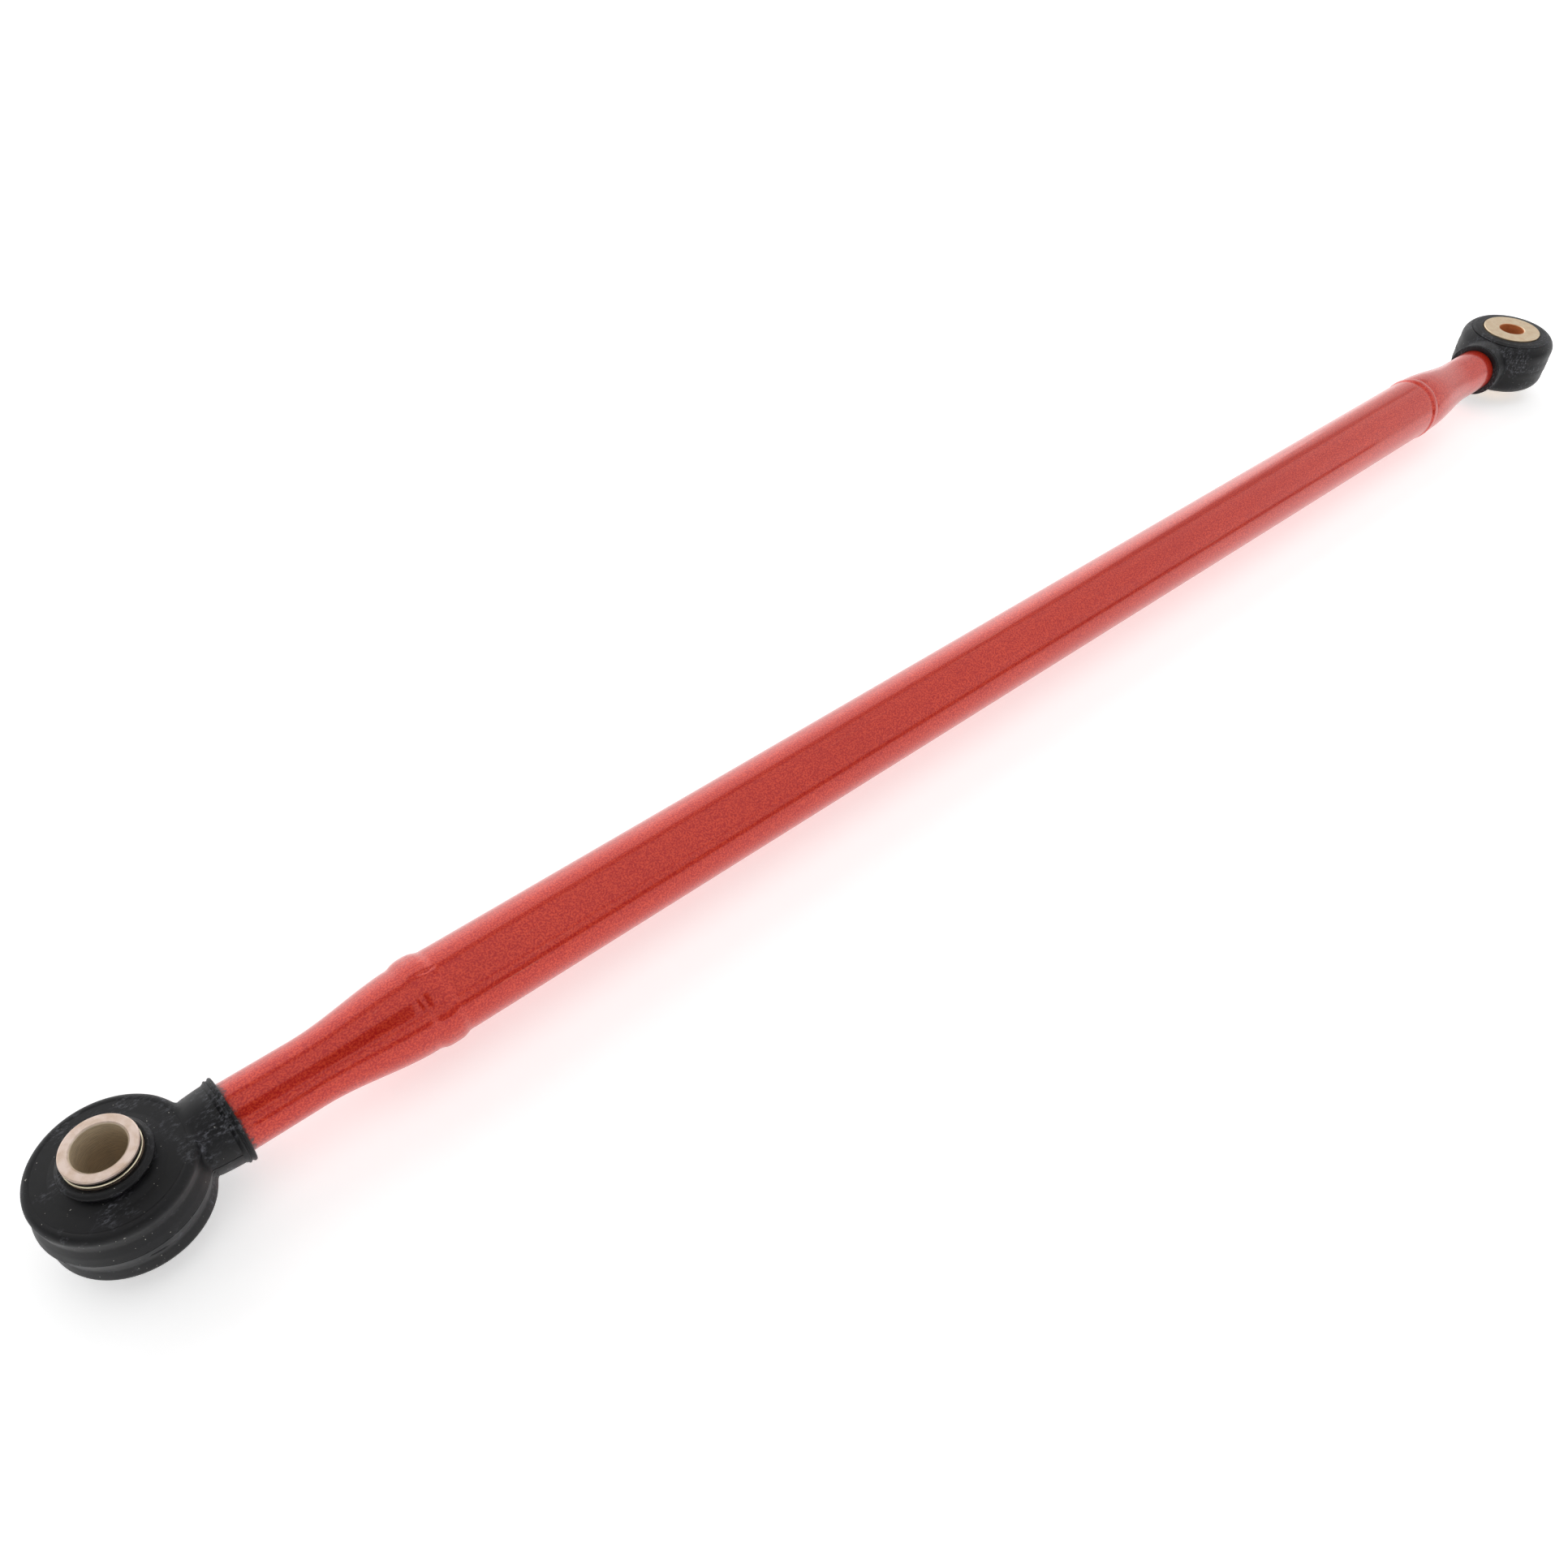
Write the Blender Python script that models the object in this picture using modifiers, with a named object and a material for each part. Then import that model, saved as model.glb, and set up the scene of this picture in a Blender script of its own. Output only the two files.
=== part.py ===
"""Suspension control arm: a straight round link with a sealed, rubber-booted ball joint at each end.

+X runs from the near joint to the far joint and +Z is the direction of both bolts. The origin is the middle
of the arm, on its axis. Each end is drawn with its ball centre at zero and +X towards the arm's middle, then
hung on an empty at the ball centre, so every moving piece turns about its own joint.
"""
import math
from types import SimpleNamespace

import bpy

MM = 0.001

# Whole arm
CENTRE_DISTANCE = 754.5 * MM
GAP = 0.3 * MM
STEPS = 24
MERGE_DISTANCE = 0.01 * MM

# Welded tube
TUBE_RADIUS = 14.3 * MM
TUBE_WALL = 2.4 * MM
WELD_HALF_WIDTH = 4.5 * MM
WELD_RISE = 0.9 * MM
SPIGOT_LENGTH = 10.0 * MM

# Ball, liner, race and their ring, the same at both ends
BALL_RADIUS = 12.7 * MM
BALL_ARC_PIECES = 6
RACE_ARC_PIECES = 4
LINER_ARC_PIECES = 3
LINER_THICKNESS = 1.2 * MM
LINER_HALF_HEIGHT = 4.0 * MM
RACE_HALF_HEIGHT = 6.0 * MM
RACE_WALL = 1.5 * MM
RING_THICKNESS = 1.0 * MM
RING_WIDTH = 3.5 * MM
RING_SEAT_DEPTH = 0.9 * MM
RING_OPENING_DEG = 24.0
RING_LIP = 0.7 * MM

# Eye of the forging and its rubber boot
EYE_WALL = 3.3 * MM
EYE_CHAMFER = 0.8 * MM
THROAT_RADIUS = 8.0 * MM
BOOT_WALL = 1.5 * MM
BOOT_PARTING_WALL = 3.1 * MM
BOOT_WAIST_WALL = 1.6 * MM
BOOT_WAIST_HEIGHT = 5.5 * MM
BOOT_ROUND_PIECES = 4
BOOT_NECK_ROOT = 0.7 * MM
BOOT_NECK_LENGTH = 11.3 * MM
BEAD_WIDTH = 2.2 * MM
BEAD_RISE = 1.0 * MM
MEMBRANE_THICKNESS = 1.4 * MM
EDGE = 0.35 * MM

# Near joint: one long steel ball and sleeve, grooved for the boot's wire rings
NEAR = SimpleNamespace(
    name="near",
    side=-1,
    bore_radius=7.1 * MM,
    face_height=19.65 * MM,
    neck_radius=10.7 * MM,
    neck_end=58.0 * MM,
    cone_end=86.3 * MM,
    eye_to_weld=92.3 * MM,
    shoulder_wall=2.1 * MM,
    shoulder_round=2.2 * MM,
    crown_height=11.5 * MM,
    crown_lap=1.5 * MM,
)
SLEEVE_RADIUS = 10.05 * MM
GROOVE_DEPTH = 0.95 * MM
GROOVE_TOP = 18.3 * MM
GROOVE_BOTTOM = 16.1 * MM
WIRE_RADIUS = 0.4 * MM
WIRE_GAP_DEG = 12.0
LIP_WALL = 1.0 * MM
LIP_BEAD = 0.9 * MM

# Far joint: a plain ball on two flanged spacers
FAR = SimpleNamespace(
    name="far",
    side=1,
    bore_radius=6.05 * MM,
    face_height=13.95 * MM,
    neck_radius=10.3 * MM,
    neck_end=55.5 * MM,
    cone_end=89.0 * MM,
    eye_to_weld=97.2 * MM,
    shoulder_wall=2.9 * MM,
    shoulder_round=6.4 * MM,
    crown_height=13.3 * MM,
    crown_lap=0.7 * MM,
)
SPACER_STEM_WALL = 1.95 * MM
FLANGE_RADIUS = 14.05 * MM
FLANGE_THICKNESS = 3.05 * MM
SPACER_SEAT_RADIUS = 9.6 * MM
BALL_FACE_HEIGHT = 8.0 * MM
FAR_LIP_WIDTH = 1.6 * MM
FAR_LIP_THICKNESS = 0.9 * MM

# Sizes that follow from the ones above
LINER_INNER = BALL_RADIUS + GAP
LINER_OUTER = LINER_INNER + LINER_THICKNESS
RACE_INNER = LINER_OUTER + GAP
RACE_OUTER = RACE_INNER + RACE_WALL
EYE_BORE = RACE_OUTER + GAP
EYE_RADIUS = EYE_BORE + EYE_WALL
RING_BOTTOM = RACE_HALF_HEIGHT + GAP
RING_TOP = RING_BOTTOM + RING_THICKNESS
EYE_HALF_HEIGHT = RING_TOP + GAP + RING_LIP
RING_OUTER = EYE_BORE + RING_SEAT_DEPTH - GAP
RING_INNER = RING_OUTER - RING_WIDTH
SPIGOT_RADIUS = TUBE_RADIUS - TUBE_WALL - GAP
BOOT_ROOM_RADIUS = EYE_RADIUS + GAP
BOOT_PARTING_RADIUS = BOOT_ROOM_RADIUS + BOOT_PARTING_WALL
BOOT_WAIST_RADIUS = BOOT_ROOM_RADIUS + BOOT_WAIST_WALL
BOOT_NECK_START = EYE_BORE + BOOT_NECK_ROOT
BOOT_NECK_END = BOOT_ROOM_RADIUS + BOOT_NECK_LENGTH

RED_PAINT = ("red_powder_coat", (0.42, 0.035, 0.018), 0.4, 0.0)
BLACK_RUBBER = ("black_rubber", (0.016, 0.016, 0.019), 0.6, 0.0)
PLATED_STEEL = ("plated_sleeve_steel", (0.60, 0.50, 0.40), 0.32, 1.0)
BALL_STEEL = ("ground_ball_steel", (0.62, 0.62, 0.63), 0.15, 1.0)
SPRING_STEEL = ("spring_steel", (0.35, 0.33, 0.31), 0.35, 1.0)
LINER_PLASTIC = ("white_acetal", (0.75, 0.73, 0.68), 0.45, 0.0)


def clear_scene():
    """Remove whatever the opened file already holds."""
    for obj in list(bpy.data.objects):
        bpy.data.objects.remove(obj, do_unlink=True)


def collection(name):
    """Make a collection in the scene."""
    made = bpy.data.collections.new(name)
    bpy.context.scene.collection.children.link(made)
    return made


def material(spec):
    """A Principled material, made once for each name."""
    name, colour, roughness, metallic = spec
    found = bpy.data.materials.get(name)
    if found:
        return found
    made = bpy.data.materials.new(name)
    made.use_nodes = True
    shader = made.node_tree.nodes["Principled BSDF"]
    shader.inputs["Base Color"].default_value = (*colour, 1.0)
    shader.inputs["Roughness"].default_value = roughness
    shader.inputs["Metallic"].default_value = metallic
    return made


def arc(centre_radius, centre_height, radius, start_deg, end_deg, pieces):
    """Profile points (radius, height) along an arc, 0 degrees pointing outwards and 90 up."""
    points = []
    for i in range(pieces + 1):
        angle = math.radians(start_deg + (end_deg - start_deg) * i / pieces)
        reach = centre_radius + radius * math.cos(angle)
        height = centre_height + radius * math.sin(angle)
        points.append((reach, height))
    return points


def sphere_zone(radius, half_height, pieces):
    """Points down the outside of a ball between two heights."""
    limit = math.degrees(math.asin(half_height / radius))
    return arc(0.0, 0.0, radius, limit, -limit, pieces)


def with_mirror(upper):
    """A profile's upper half, top to middle, followed by its lower half."""
    lower = [(r, -z) for r, z in reversed(upper)]
    return upper + [p for p in lower if abs(p[1]) > MERGE_DISTANCE]


def turned(name, profile, group, closed=True):
    """Turn a profile round Z. It runs down its outer side, and a closed one comes back up the inside."""
    mesh = bpy.data.meshes.new(name)
    count = len(profile)
    edges = [(i, i + 1) for i in range(count - 1)]
    if closed:
        edges.append((count - 1, 0))
    mesh.from_pydata([(r, 0.0, z) for r, z in profile], edges, [])
    obj = bpy.data.objects.new(name, mesh)
    group.objects.link(obj)
    screw = obj.modifiers.new("Turn", "SCREW")
    screw.steps = STEPS
    screw.render_steps = STEPS
    screw.use_merge_vertices = True
    screw.merge_threshold = MERGE_DISTANCE
    screw.use_smooth_shade = True
    return obj


def boolean(obj, operation, other):
    """Join another object to this one, or cut it away."""
    made = obj.modifiers.new(operation.title(), "BOOLEAN")
    made.operation = operation
    made.solver = "EXACT"
    made.object = other


def as_cutter(obj):
    """A shape that only cuts or joins: shown as wires."""
    obj.hide_render = True
    obj.display_type = "WIRE"
    return obj


def finish(obj, spec, parent):
    """Give a piece its material and hang it on its joint centre."""
    obj.data.materials.append(material(spec))
    obj.parent = parent
    return obj


def along_arm(obj):
    """Lay a turned shape on the arm: its height becomes the distance along X."""
    obj.rotation_euler = (0.0, math.pi / 2, 0.0)
    return obj


def flipped(obj):
    """Turn a piece of the upper side over to the lower side."""
    obj.rotation_euler = (math.pi, 0.0, 0.0)
    return obj


def joint_centre(end, parts):
    """An empty at the ball centre, whose +X points at the middle of the arm."""
    empty = bpy.data.objects.new(end.name + "_ball_centre", None)
    parts.objects.link(empty)
    empty.location = (end.side * CENTRE_DISTANCE / 2, 0.0, 0.0)
    if end.side > 0:
        empty.rotation_euler = (0.0, 0.0, math.pi)
    return empty


def forging_profile(end, extra, spigot):
    """Outline of the solid neck, cone and spigot along the arm, grown by extra."""
    weld_face = end.eye_to_weld - WELD_HALF_WIDTH - GAP
    throat_x = EYE_BORE + RING_SEAT_DEPTH + EDGE
    waist_x = EYE_RADIUS + EDGE
    neck_x = BOOT_NECK_END - 2 * BEAD_WIDTH
    points = [
        (THROAT_RADIUS + extra, throat_x - extra),
        (THROAT_RADIUS + extra, waist_x),
        (end.neck_radius + extra, neck_x),
    ]
    if spigot:
        points += [
            (end.neck_radius, end.neck_end),
            (TUBE_RADIUS - EDGE / 2, end.cone_end),
            (TUBE_RADIUS, weld_face),
            (SPIGOT_RADIUS, weld_face),
            (SPIGOT_RADIUS, end.eye_to_weld + WELD_HALF_WIDTH + SPIGOT_LENGTH),
        ]
    else:
        points.append((end.neck_radius + extra, BOOT_NECK_END + GAP))
    first, last = points[0], points[-1]
    return [(0.0, last[1])] + points[::-1] + [(0.0, first[1])]


def forged_end(end, parts, cutters, centre):
    """Eye bored for the race, with a thin seat below it and a ring groove above, joined to the neck."""
    seat_radius = RING_INNER
    outer = [
        (EYE_RADIUS - EYE_CHAMFER, EYE_HALF_HEIGHT),
        (EYE_RADIUS, EYE_HALF_HEIGHT - EYE_CHAMFER),
        (EYE_RADIUS, -EYE_HALF_HEIGHT + EYE_CHAMFER),
        (EYE_RADIUS - EYE_CHAMFER, -EYE_HALF_HEIGHT),
    ]
    inner = [
        (EYE_BORE, -EYE_HALF_HEIGHT),
        (EYE_BORE, -RING_TOP - GAP),
        (seat_radius, -RING_TOP),
        (seat_radius, -RACE_HALF_HEIGHT - GAP),
        (EYE_BORE, -RACE_HALF_HEIGHT - GAP),
        (EYE_BORE, RING_BOTTOM - GAP),
        (EYE_BORE + RING_SEAT_DEPTH, RING_BOTTOM - GAP),
        (EYE_BORE + RING_SEAT_DEPTH, RING_TOP + GAP),
        (EYE_BORE, RING_TOP + GAP),
        (EYE_BORE, EYE_HALF_HEIGHT),
    ]
    eye = finish(turned(end.name + "_forged_end", outer + inner, parts), RED_PAINT, centre)
    neck = turned(end.name + "_neck_form", forging_profile(end, 0.0, True), cutters, closed=False)
    neck.parent = centre
    boolean(eye, "UNION", as_cutter(along_arm(neck)))


def weld_bead(end, parts, centre):
    """The ring of weld that joins the forging to the tube."""
    start = end.eye_to_weld - WELD_HALF_WIDTH
    stop = end.eye_to_weld + WELD_HALF_WIDTH
    crown = TUBE_RADIUS + WELD_RISE
    profile = [
        (TUBE_RADIUS, stop),
        (crown - WELD_RISE / 3, stop - WELD_HALF_WIDTH / 2),
        (crown, end.eye_to_weld),
        (crown - WELD_RISE / 3, start + WELD_HALF_WIDTH / 2),
        (TUBE_RADIUS, start),
        (SPIGOT_RADIUS + GAP, start),
        (SPIGOT_RADIUS + GAP, stop),
    ]
    finish(along_arm(turned(end.name + "_weld_bead", profile, parts)), RED_PAINT, centre)


def main_tube(parts):
    """The tube between the two welds."""
    start = -CENTRE_DISTANCE / 2 + NEAR.eye_to_weld + WELD_HALF_WIDTH + GAP
    stop = CENTRE_DISTANCE / 2 - FAR.eye_to_weld - WELD_HALF_WIDTH - GAP
    inner = TUBE_RADIUS - TUBE_WALL
    profile = [(TUBE_RADIUS, stop), (TUBE_RADIUS, start), (inner, start), (inner, stop)]
    finish(along_arm(turned("main_tube", profile, parts)), RED_PAINT, None)


def race_and_liner(end, parts, centre):
    """Steel race pressed in the eye, and the plastic liner that the ball turns in."""
    race = [(RACE_OUTER, RACE_HALF_HEIGHT), (RACE_OUTER, -RACE_HALF_HEIGHT)]
    race += sphere_zone(RACE_INNER, RACE_HALF_HEIGHT, RACE_ARC_PIECES)[::-1]
    finish(turned(end.name + "_bearing_race", race, parts), BALL_STEEL, centre)
    inner_half = LINER_HALF_HEIGHT * LINER_INNER / LINER_OUTER
    liner = sphere_zone(LINER_OUTER, LINER_HALF_HEIGHT, LINER_ARC_PIECES)
    liner += sphere_zone(LINER_INNER, inner_half, LINER_ARC_PIECES)[::-1]
    finish(turned(end.name + "_bearing_liner", liner, parts), LINER_PLASTIC, centre)


def retaining_ring(end, parts, centre):
    """Flat split ring that sits in the eye's groove and holds the race down."""
    half = RING_OPENING_DEG / 2
    outline = []
    for radius, first, last in ((RING_OUTER, half, 360 - half), (RING_INNER, 360 - half, half)):
        for i in range(STEPS + 1):
            angle = math.radians(first + (last - first) * i / STEPS)
            outline.append((radius * math.cos(angle), radius * math.sin(angle), 0.0, 1.0))
    curve = bpy.data.curves.new(end.name + "_retaining_ring", "CURVE")
    curve.dimensions = "2D"
    curve.fill_mode = "BOTH"
    curve.extrude = RING_THICKNESS / 2
    spline = curve.splines.new("POLY")
    spline.points.add(len(outline) - 1)
    for point, place in zip(spline.points, outline):
        point.co = place
    spline.use_cyclic_u = True
    ring = bpy.data.objects.new(curve.name, curve)
    parts.objects.link(ring)
    ring.location.z = RING_BOTTOM + RING_THICKNESS / 2
    finish(ring, SPRING_STEEL, centre)


def boot(end, parts, cutters, centre):
    """Rubber boot shell over the eye, with a sleeve and a bead round the neck."""
    top = end.crown_height
    bevel = end.shoulder_round
    shoulder = BOOT_ROOM_RADIUS + end.shoulder_wall
    upper = [(EYE_BORE, top - EDGE), (shoulder - bevel - EDGE, top - EDGE / 4)]
    upper += arc(shoulder - bevel, top - bevel, bevel, 90, 0, BOOT_ROUND_PIECES)
    waist_shows = top - bevel > BOOT_WAIST_HEIGHT + bevel / 2
    if waist_shows:
        upper.append((BOOT_WAIST_RADIUS, BOOT_WAIST_HEIGHT))
    upper.append((BOOT_PARTING_RADIUS, 0.0))
    shell = finish(turned(end.name + "_boot", with_mirror(upper), parts), BLACK_RUBBER, centre)

    skin = end.neck_radius + GAP + BOOT_WALL
    bead_start = BOOT_NECK_END - BEAD_WIDTH
    neck = [
        (0.0, BOOT_NECK_END),
        (skin + BEAD_RISE - EDGE, BOOT_NECK_END),
        (skin + BEAD_RISE, BOOT_NECK_END - EDGE),
        (skin + BEAD_RISE, bead_start + EDGE),
        (skin, bead_start),
        (skin, BOOT_ROOM_RADIUS),
        (THROAT_RADIUS + GAP + BOOT_WALL, BOOT_NECK_START),
        (0.0, BOOT_NECK_START),
    ]
    sleeve = turned(end.name + "_boot_neck_form", neck, cutters, closed=False)
    hollow = turned(end.name + "_boot_neck_hollow", forging_profile(end, GAP, False), cutters, closed=False)
    room_radius = BOOT_ROOM_RADIUS
    room_height = EYE_HALF_HEIGHT + GAP
    room = [(0.0, room_height), (room_radius, room_height), (room_radius, -room_height), (0.0, -room_height)]
    cavity = turned(end.name + "_boot_eye_room", room, cutters, closed=False)
    past = end.face_height + BOOT_WALL
    opening = BOOT_ROOM_RADIUS - end.crown_lap
    hole = [(0.0, past), (opening, past), (opening, -past), (0.0, -past)]
    opening = turned(end.name + "_boot_crown_hole", hole, cutters, closed=False)
    for form in (sleeve, hollow, cavity, opening):
        as_cutter(form).parent = centre
    along_arm(sleeve)
    along_arm(hollow)
    boolean(shell, "UNION", sleeve)
    for cut in (cavity, opening, hollow):
        boolean(shell, "DIFFERENCE", cut)


def lip_heights(end):
    """Where the soft membrane meets the lip and the boot's crown: (lip radius, lip height, crown height)."""
    if end is NEAR:
        return SLEEVE_RADIUS + GAP + LIP_WALL, end.crown_height + 2 * EDGE, end.crown_height - EDGE
    reach = FLANGE_RADIUS + GAP + FAR_LIP_WIDTH
    return reach, end.crown_height - EDGE / 2, end.crown_height - EDGE


def membrane(end, side, parts, centre):
    """Thin flexible ring between the boot's crown and its lip."""
    lip_radius, lip_height, crown_height = lip_heights(end)
    inner = lip_radius + GAP
    outer = BOOT_ROOM_RADIUS - end.crown_lap - GAP
    middle = (inner + outer) / 2
    middle_height = crown_height - EDGE / 4
    thick = MEMBRANE_THICKNESS
    profile = [
        (inner, lip_height),
        (middle, middle_height),
        (outer, crown_height),
        (outer, crown_height - thick),
        (middle, middle_height - thick),
        (inner, lip_height - thick),
    ]
    made = finish(turned(f"{end.name}_{side}_membrane", profile, parts), BLACK_RUBBER, centre)
    if side == "lower":
        flipped(made)


def near_lip(side, parts, centre):
    """Beaded rubber lip that grips the near sleeve below its groove."""
    inner = SLEEVE_RADIUS + GAP
    wall = inner + LIP_WALL
    top = GROOVE_BOTTOM - GAP / 3
    foot = NEAR.crown_height - GAP
    bead_height = (top + foot) / 2 + EDGE
    profile = [
        (inner + EDGE, top),
        (wall, top - EDGE),
        (wall + LIP_BEAD, bead_height),
        (wall, foot + 2 * EDGE),
        (wall, foot),
        (inner, foot),
        (inner, top),
    ]
    made = finish(turned(f"near_{side}_lip", profile, parts), BLACK_RUBBER, centre)
    if side == "lower":
        flipped(made)


def near_lip_ring(side, parts, centre):
    """Split wire ring in the sleeve's groove, over the rubber lip."""
    curve = bpy.data.curves.new(f"near_{side}_lip_ring", "CURVE")
    curve.dimensions = "3D"
    curve.bevel_depth = WIRE_RADIUS
    curve.bevel_resolution = 1
    curve.use_fill_caps = True
    spline = curve.splines.new("POLY")
    spline.points.add(STEPS)
    reach = SLEEVE_RADIUS - GROOVE_DEPTH + GAP + WIRE_RADIUS
    for i, point in enumerate(spline.points):
        turn = WIRE_GAP_DEG / 2 + (360 - WIRE_GAP_DEG) * i / STEPS
        angle = math.radians(turn)
        point.co = (reach * math.cos(angle), reach * math.sin(angle), 0.0, 1.0)
    ring = bpy.data.objects.new(curve.name, curve)
    parts.objects.link(ring)
    height = GROOVE_BOTTOM + GAP + WIRE_RADIUS
    ring.location.z = height if side == "upper" else -height
    finish(ring, PLATED_STEEL, centre)


def near_ball_sleeve(parts, centre):
    """Ball and long sleeve in one piece of steel, grooved near each face."""
    bore = NEAR.bore_radius
    face = NEAR.face_height
    ball_end = math.sqrt(BALL_RADIUS**2 - SLEEVE_RADIUS**2)
    upper = [
        (SLEEVE_RADIUS - EDGE, face),
        (SLEEVE_RADIUS, face - EDGE),
        (SLEEVE_RADIUS, GROOVE_TOP),
        (SLEEVE_RADIUS - GROOVE_DEPTH, GROOVE_TOP),
        (SLEEVE_RADIUS - GROOVE_DEPTH, GROOVE_BOTTOM),
        (SLEEVE_RADIUS, GROOVE_BOTTOM),
    ]
    ball = sphere_zone(BALL_RADIUS, ball_end, BALL_ARC_PIECES)
    lower = [(r, -z) for r, z in reversed(upper)]
    inside = [(bore + EDGE, -face), (bore, -face + EDGE), (bore, face - EDGE), (bore + EDGE, face)]
    profile = upper + ball + lower + inside
    finish(turned("near_ball_sleeve", profile, parts), PLATED_STEEL, centre)


def far_ball_and_spacers(parts, centre):
    """Bored ball with a flanged spacer pushed in from each side."""
    stem_radius = FAR.bore_radius + SPACER_STEM_WALL
    bore = stem_radius + GAP
    ball = sphere_zone(BALL_RADIUS, BALL_FACE_HEIGHT, BALL_ARC_PIECES)
    ball += [(bore, -BALL_FACE_HEIGHT), (bore, BALL_FACE_HEIGHT)]
    finish(turned("far_ball", ball, parts), BALL_STEEL, centre)
    face = FAR.face_height
    shelf = face - FLANGE_THICKNESS
    seat = BALL_FACE_HEIGHT + GAP
    profile = [
        (FLANGE_RADIUS - EDGE, face),
        (FLANGE_RADIUS, face - EDGE),
        (FLANGE_RADIUS, shelf),
        (SPACER_SEAT_RADIUS, shelf),
        (SPACER_SEAT_RADIUS, seat),
        (stem_radius, seat),
        (stem_radius, GAP / 2),
        (FAR.bore_radius, GAP / 2),
        (FAR.bore_radius, face - EDGE),
        (FAR.bore_radius + EDGE, face),
    ]
    finish(turned("far_upper_spacer", profile, parts), PLATED_STEEL, centre)
    flipped(finish(turned("far_lower_spacer", profile, parts), PLATED_STEEL, centre))


def far_lip(side, parts, centre):
    """Thin rubber lip stretched round the spacer's flange."""
    inner = FLANGE_RADIUS + GAP
    outer = inner + FAR_LIP_WIDTH
    top = FAR.crown_height
    foot = top - FAR_LIP_THICKNESS
    profile = [
        (inner + EDGE, top),
        (outer - EDGE, top),
        (outer, top - EDGE / 2),
        (outer, foot - EDGE / 2),
        (inner, foot - EDGE / 2),
        (inner, top - EDGE),
    ]
    made = finish(turned(f"far_{side}_lip", profile, parts), BLACK_RUBBER, centre)
    if side == "lower":
        flipped(made)


def build():
    """Build the whole arm."""
    clear_scene()
    parts = collection("control_arm")
    cutters = collection("cutters")
    main_tube(parts)
    for end in (NEAR, FAR):
        centre = joint_centre(end, parts)
        forged_end(end, parts, cutters, centre)
        weld_bead(end, parts, centre)
        race_and_liner(end, parts, centre)
        retaining_ring(end, parts, centre)
        boot(end, parts, cutters, centre)
        for side in ("upper", "lower"):
            membrane(end, side, parts, centre)
            if end is NEAR:
                near_lip(side, parts, centre)
                near_lip_ring(side, parts, centre)
            else:
                far_lip(side, parts, centre)
        if end is NEAR:
            near_ball_sleeve(parts, centre)
        else:
            far_ball_and_spacers(parts, centre)


build()
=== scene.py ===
# %% [markdown]
# # A suspension control arm
# This arm is a painted steel tube welded between two forgings. Each forging ends in an eye that holds a
# ball joint, sealed in a black rubber boot. The near joint turns on one long steel sleeve, and the far
# joint is clamped through two flanged spacers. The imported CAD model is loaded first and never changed: it
# says where everything is and how it moves, and the pieces made here give it its finished surfaces. Sizes
# are written in millimetres and turned to metres by MM. The plain Standard view keeps the white floor
# white.

# %% Load the CAD frame
import math
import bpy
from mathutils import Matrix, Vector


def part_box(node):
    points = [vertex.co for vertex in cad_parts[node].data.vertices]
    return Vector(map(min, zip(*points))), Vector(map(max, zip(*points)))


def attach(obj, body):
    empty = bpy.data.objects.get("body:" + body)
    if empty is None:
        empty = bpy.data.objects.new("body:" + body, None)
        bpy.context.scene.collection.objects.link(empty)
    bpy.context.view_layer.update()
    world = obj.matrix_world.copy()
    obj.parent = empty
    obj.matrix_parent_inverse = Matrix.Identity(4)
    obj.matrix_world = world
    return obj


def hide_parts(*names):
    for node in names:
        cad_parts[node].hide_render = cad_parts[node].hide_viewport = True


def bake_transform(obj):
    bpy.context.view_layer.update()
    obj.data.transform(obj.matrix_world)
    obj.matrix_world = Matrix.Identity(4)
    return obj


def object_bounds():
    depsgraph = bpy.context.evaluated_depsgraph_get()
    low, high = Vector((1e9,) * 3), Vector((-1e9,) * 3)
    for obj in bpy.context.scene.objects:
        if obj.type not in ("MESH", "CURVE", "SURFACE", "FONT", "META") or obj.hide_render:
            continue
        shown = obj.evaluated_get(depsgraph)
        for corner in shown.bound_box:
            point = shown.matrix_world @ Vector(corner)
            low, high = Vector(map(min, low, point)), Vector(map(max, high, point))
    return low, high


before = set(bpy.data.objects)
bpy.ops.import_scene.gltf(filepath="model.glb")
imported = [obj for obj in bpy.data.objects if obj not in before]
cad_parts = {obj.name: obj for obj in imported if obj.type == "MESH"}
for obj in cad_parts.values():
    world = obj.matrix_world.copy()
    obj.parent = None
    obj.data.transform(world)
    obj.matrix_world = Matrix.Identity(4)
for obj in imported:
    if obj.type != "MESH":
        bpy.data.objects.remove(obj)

from types import SimpleNamespace

import bpy
from mathutils import Vector, noise

MM = 0.001
CAD_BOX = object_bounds()
bpy.context.scene.view_settings.view_transform = "Standard"

# %% [markdown]
# ## Where the joints are
# Both ball centres lie on the arm's axis, so the middle of each ball's box is all that is needed. Every
# end is modelled with its ball centre at zero and +X towards the middle of the arm, and then set in place.
# The far end is half a turn round from the near one.

# %% Ball centres
near_low, near_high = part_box("near_ball_sleeve")
far_low, far_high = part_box("far_ball")
NEAR_X = (near_low.x + near_high.x) / 2
FAR_X = (far_low.x + far_high.x) / 2
SPAN = (FAR_X - NEAR_X) / MM
print(f"ball centres are {SPAN:.1f} mm apart")

# %% [markdown]
# ## Turning a shape
# Most of this arm is round, and a lathe shape is drawn as an outline of distances from its axis. Here a
# ring of points is added as a circle and then extruded and scaled from one outline point to the next, just
# as it would be by hand. The Screw modifier could do it too, but extruding a ring leaves no seam to close.

# %% Start from nothing selected
def deselect_all():
    if bpy.context.object and bpy.context.object.mode != "OBJECT":
        bpy.ops.object.mode_set(mode="OBJECT")
    bpy.ops.object.select_all(action="DESELECT")


def select_only(piece):
    deselect_all()
    piece.select_set(True)
    bpy.context.view_layer.objects.active = piece


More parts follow.
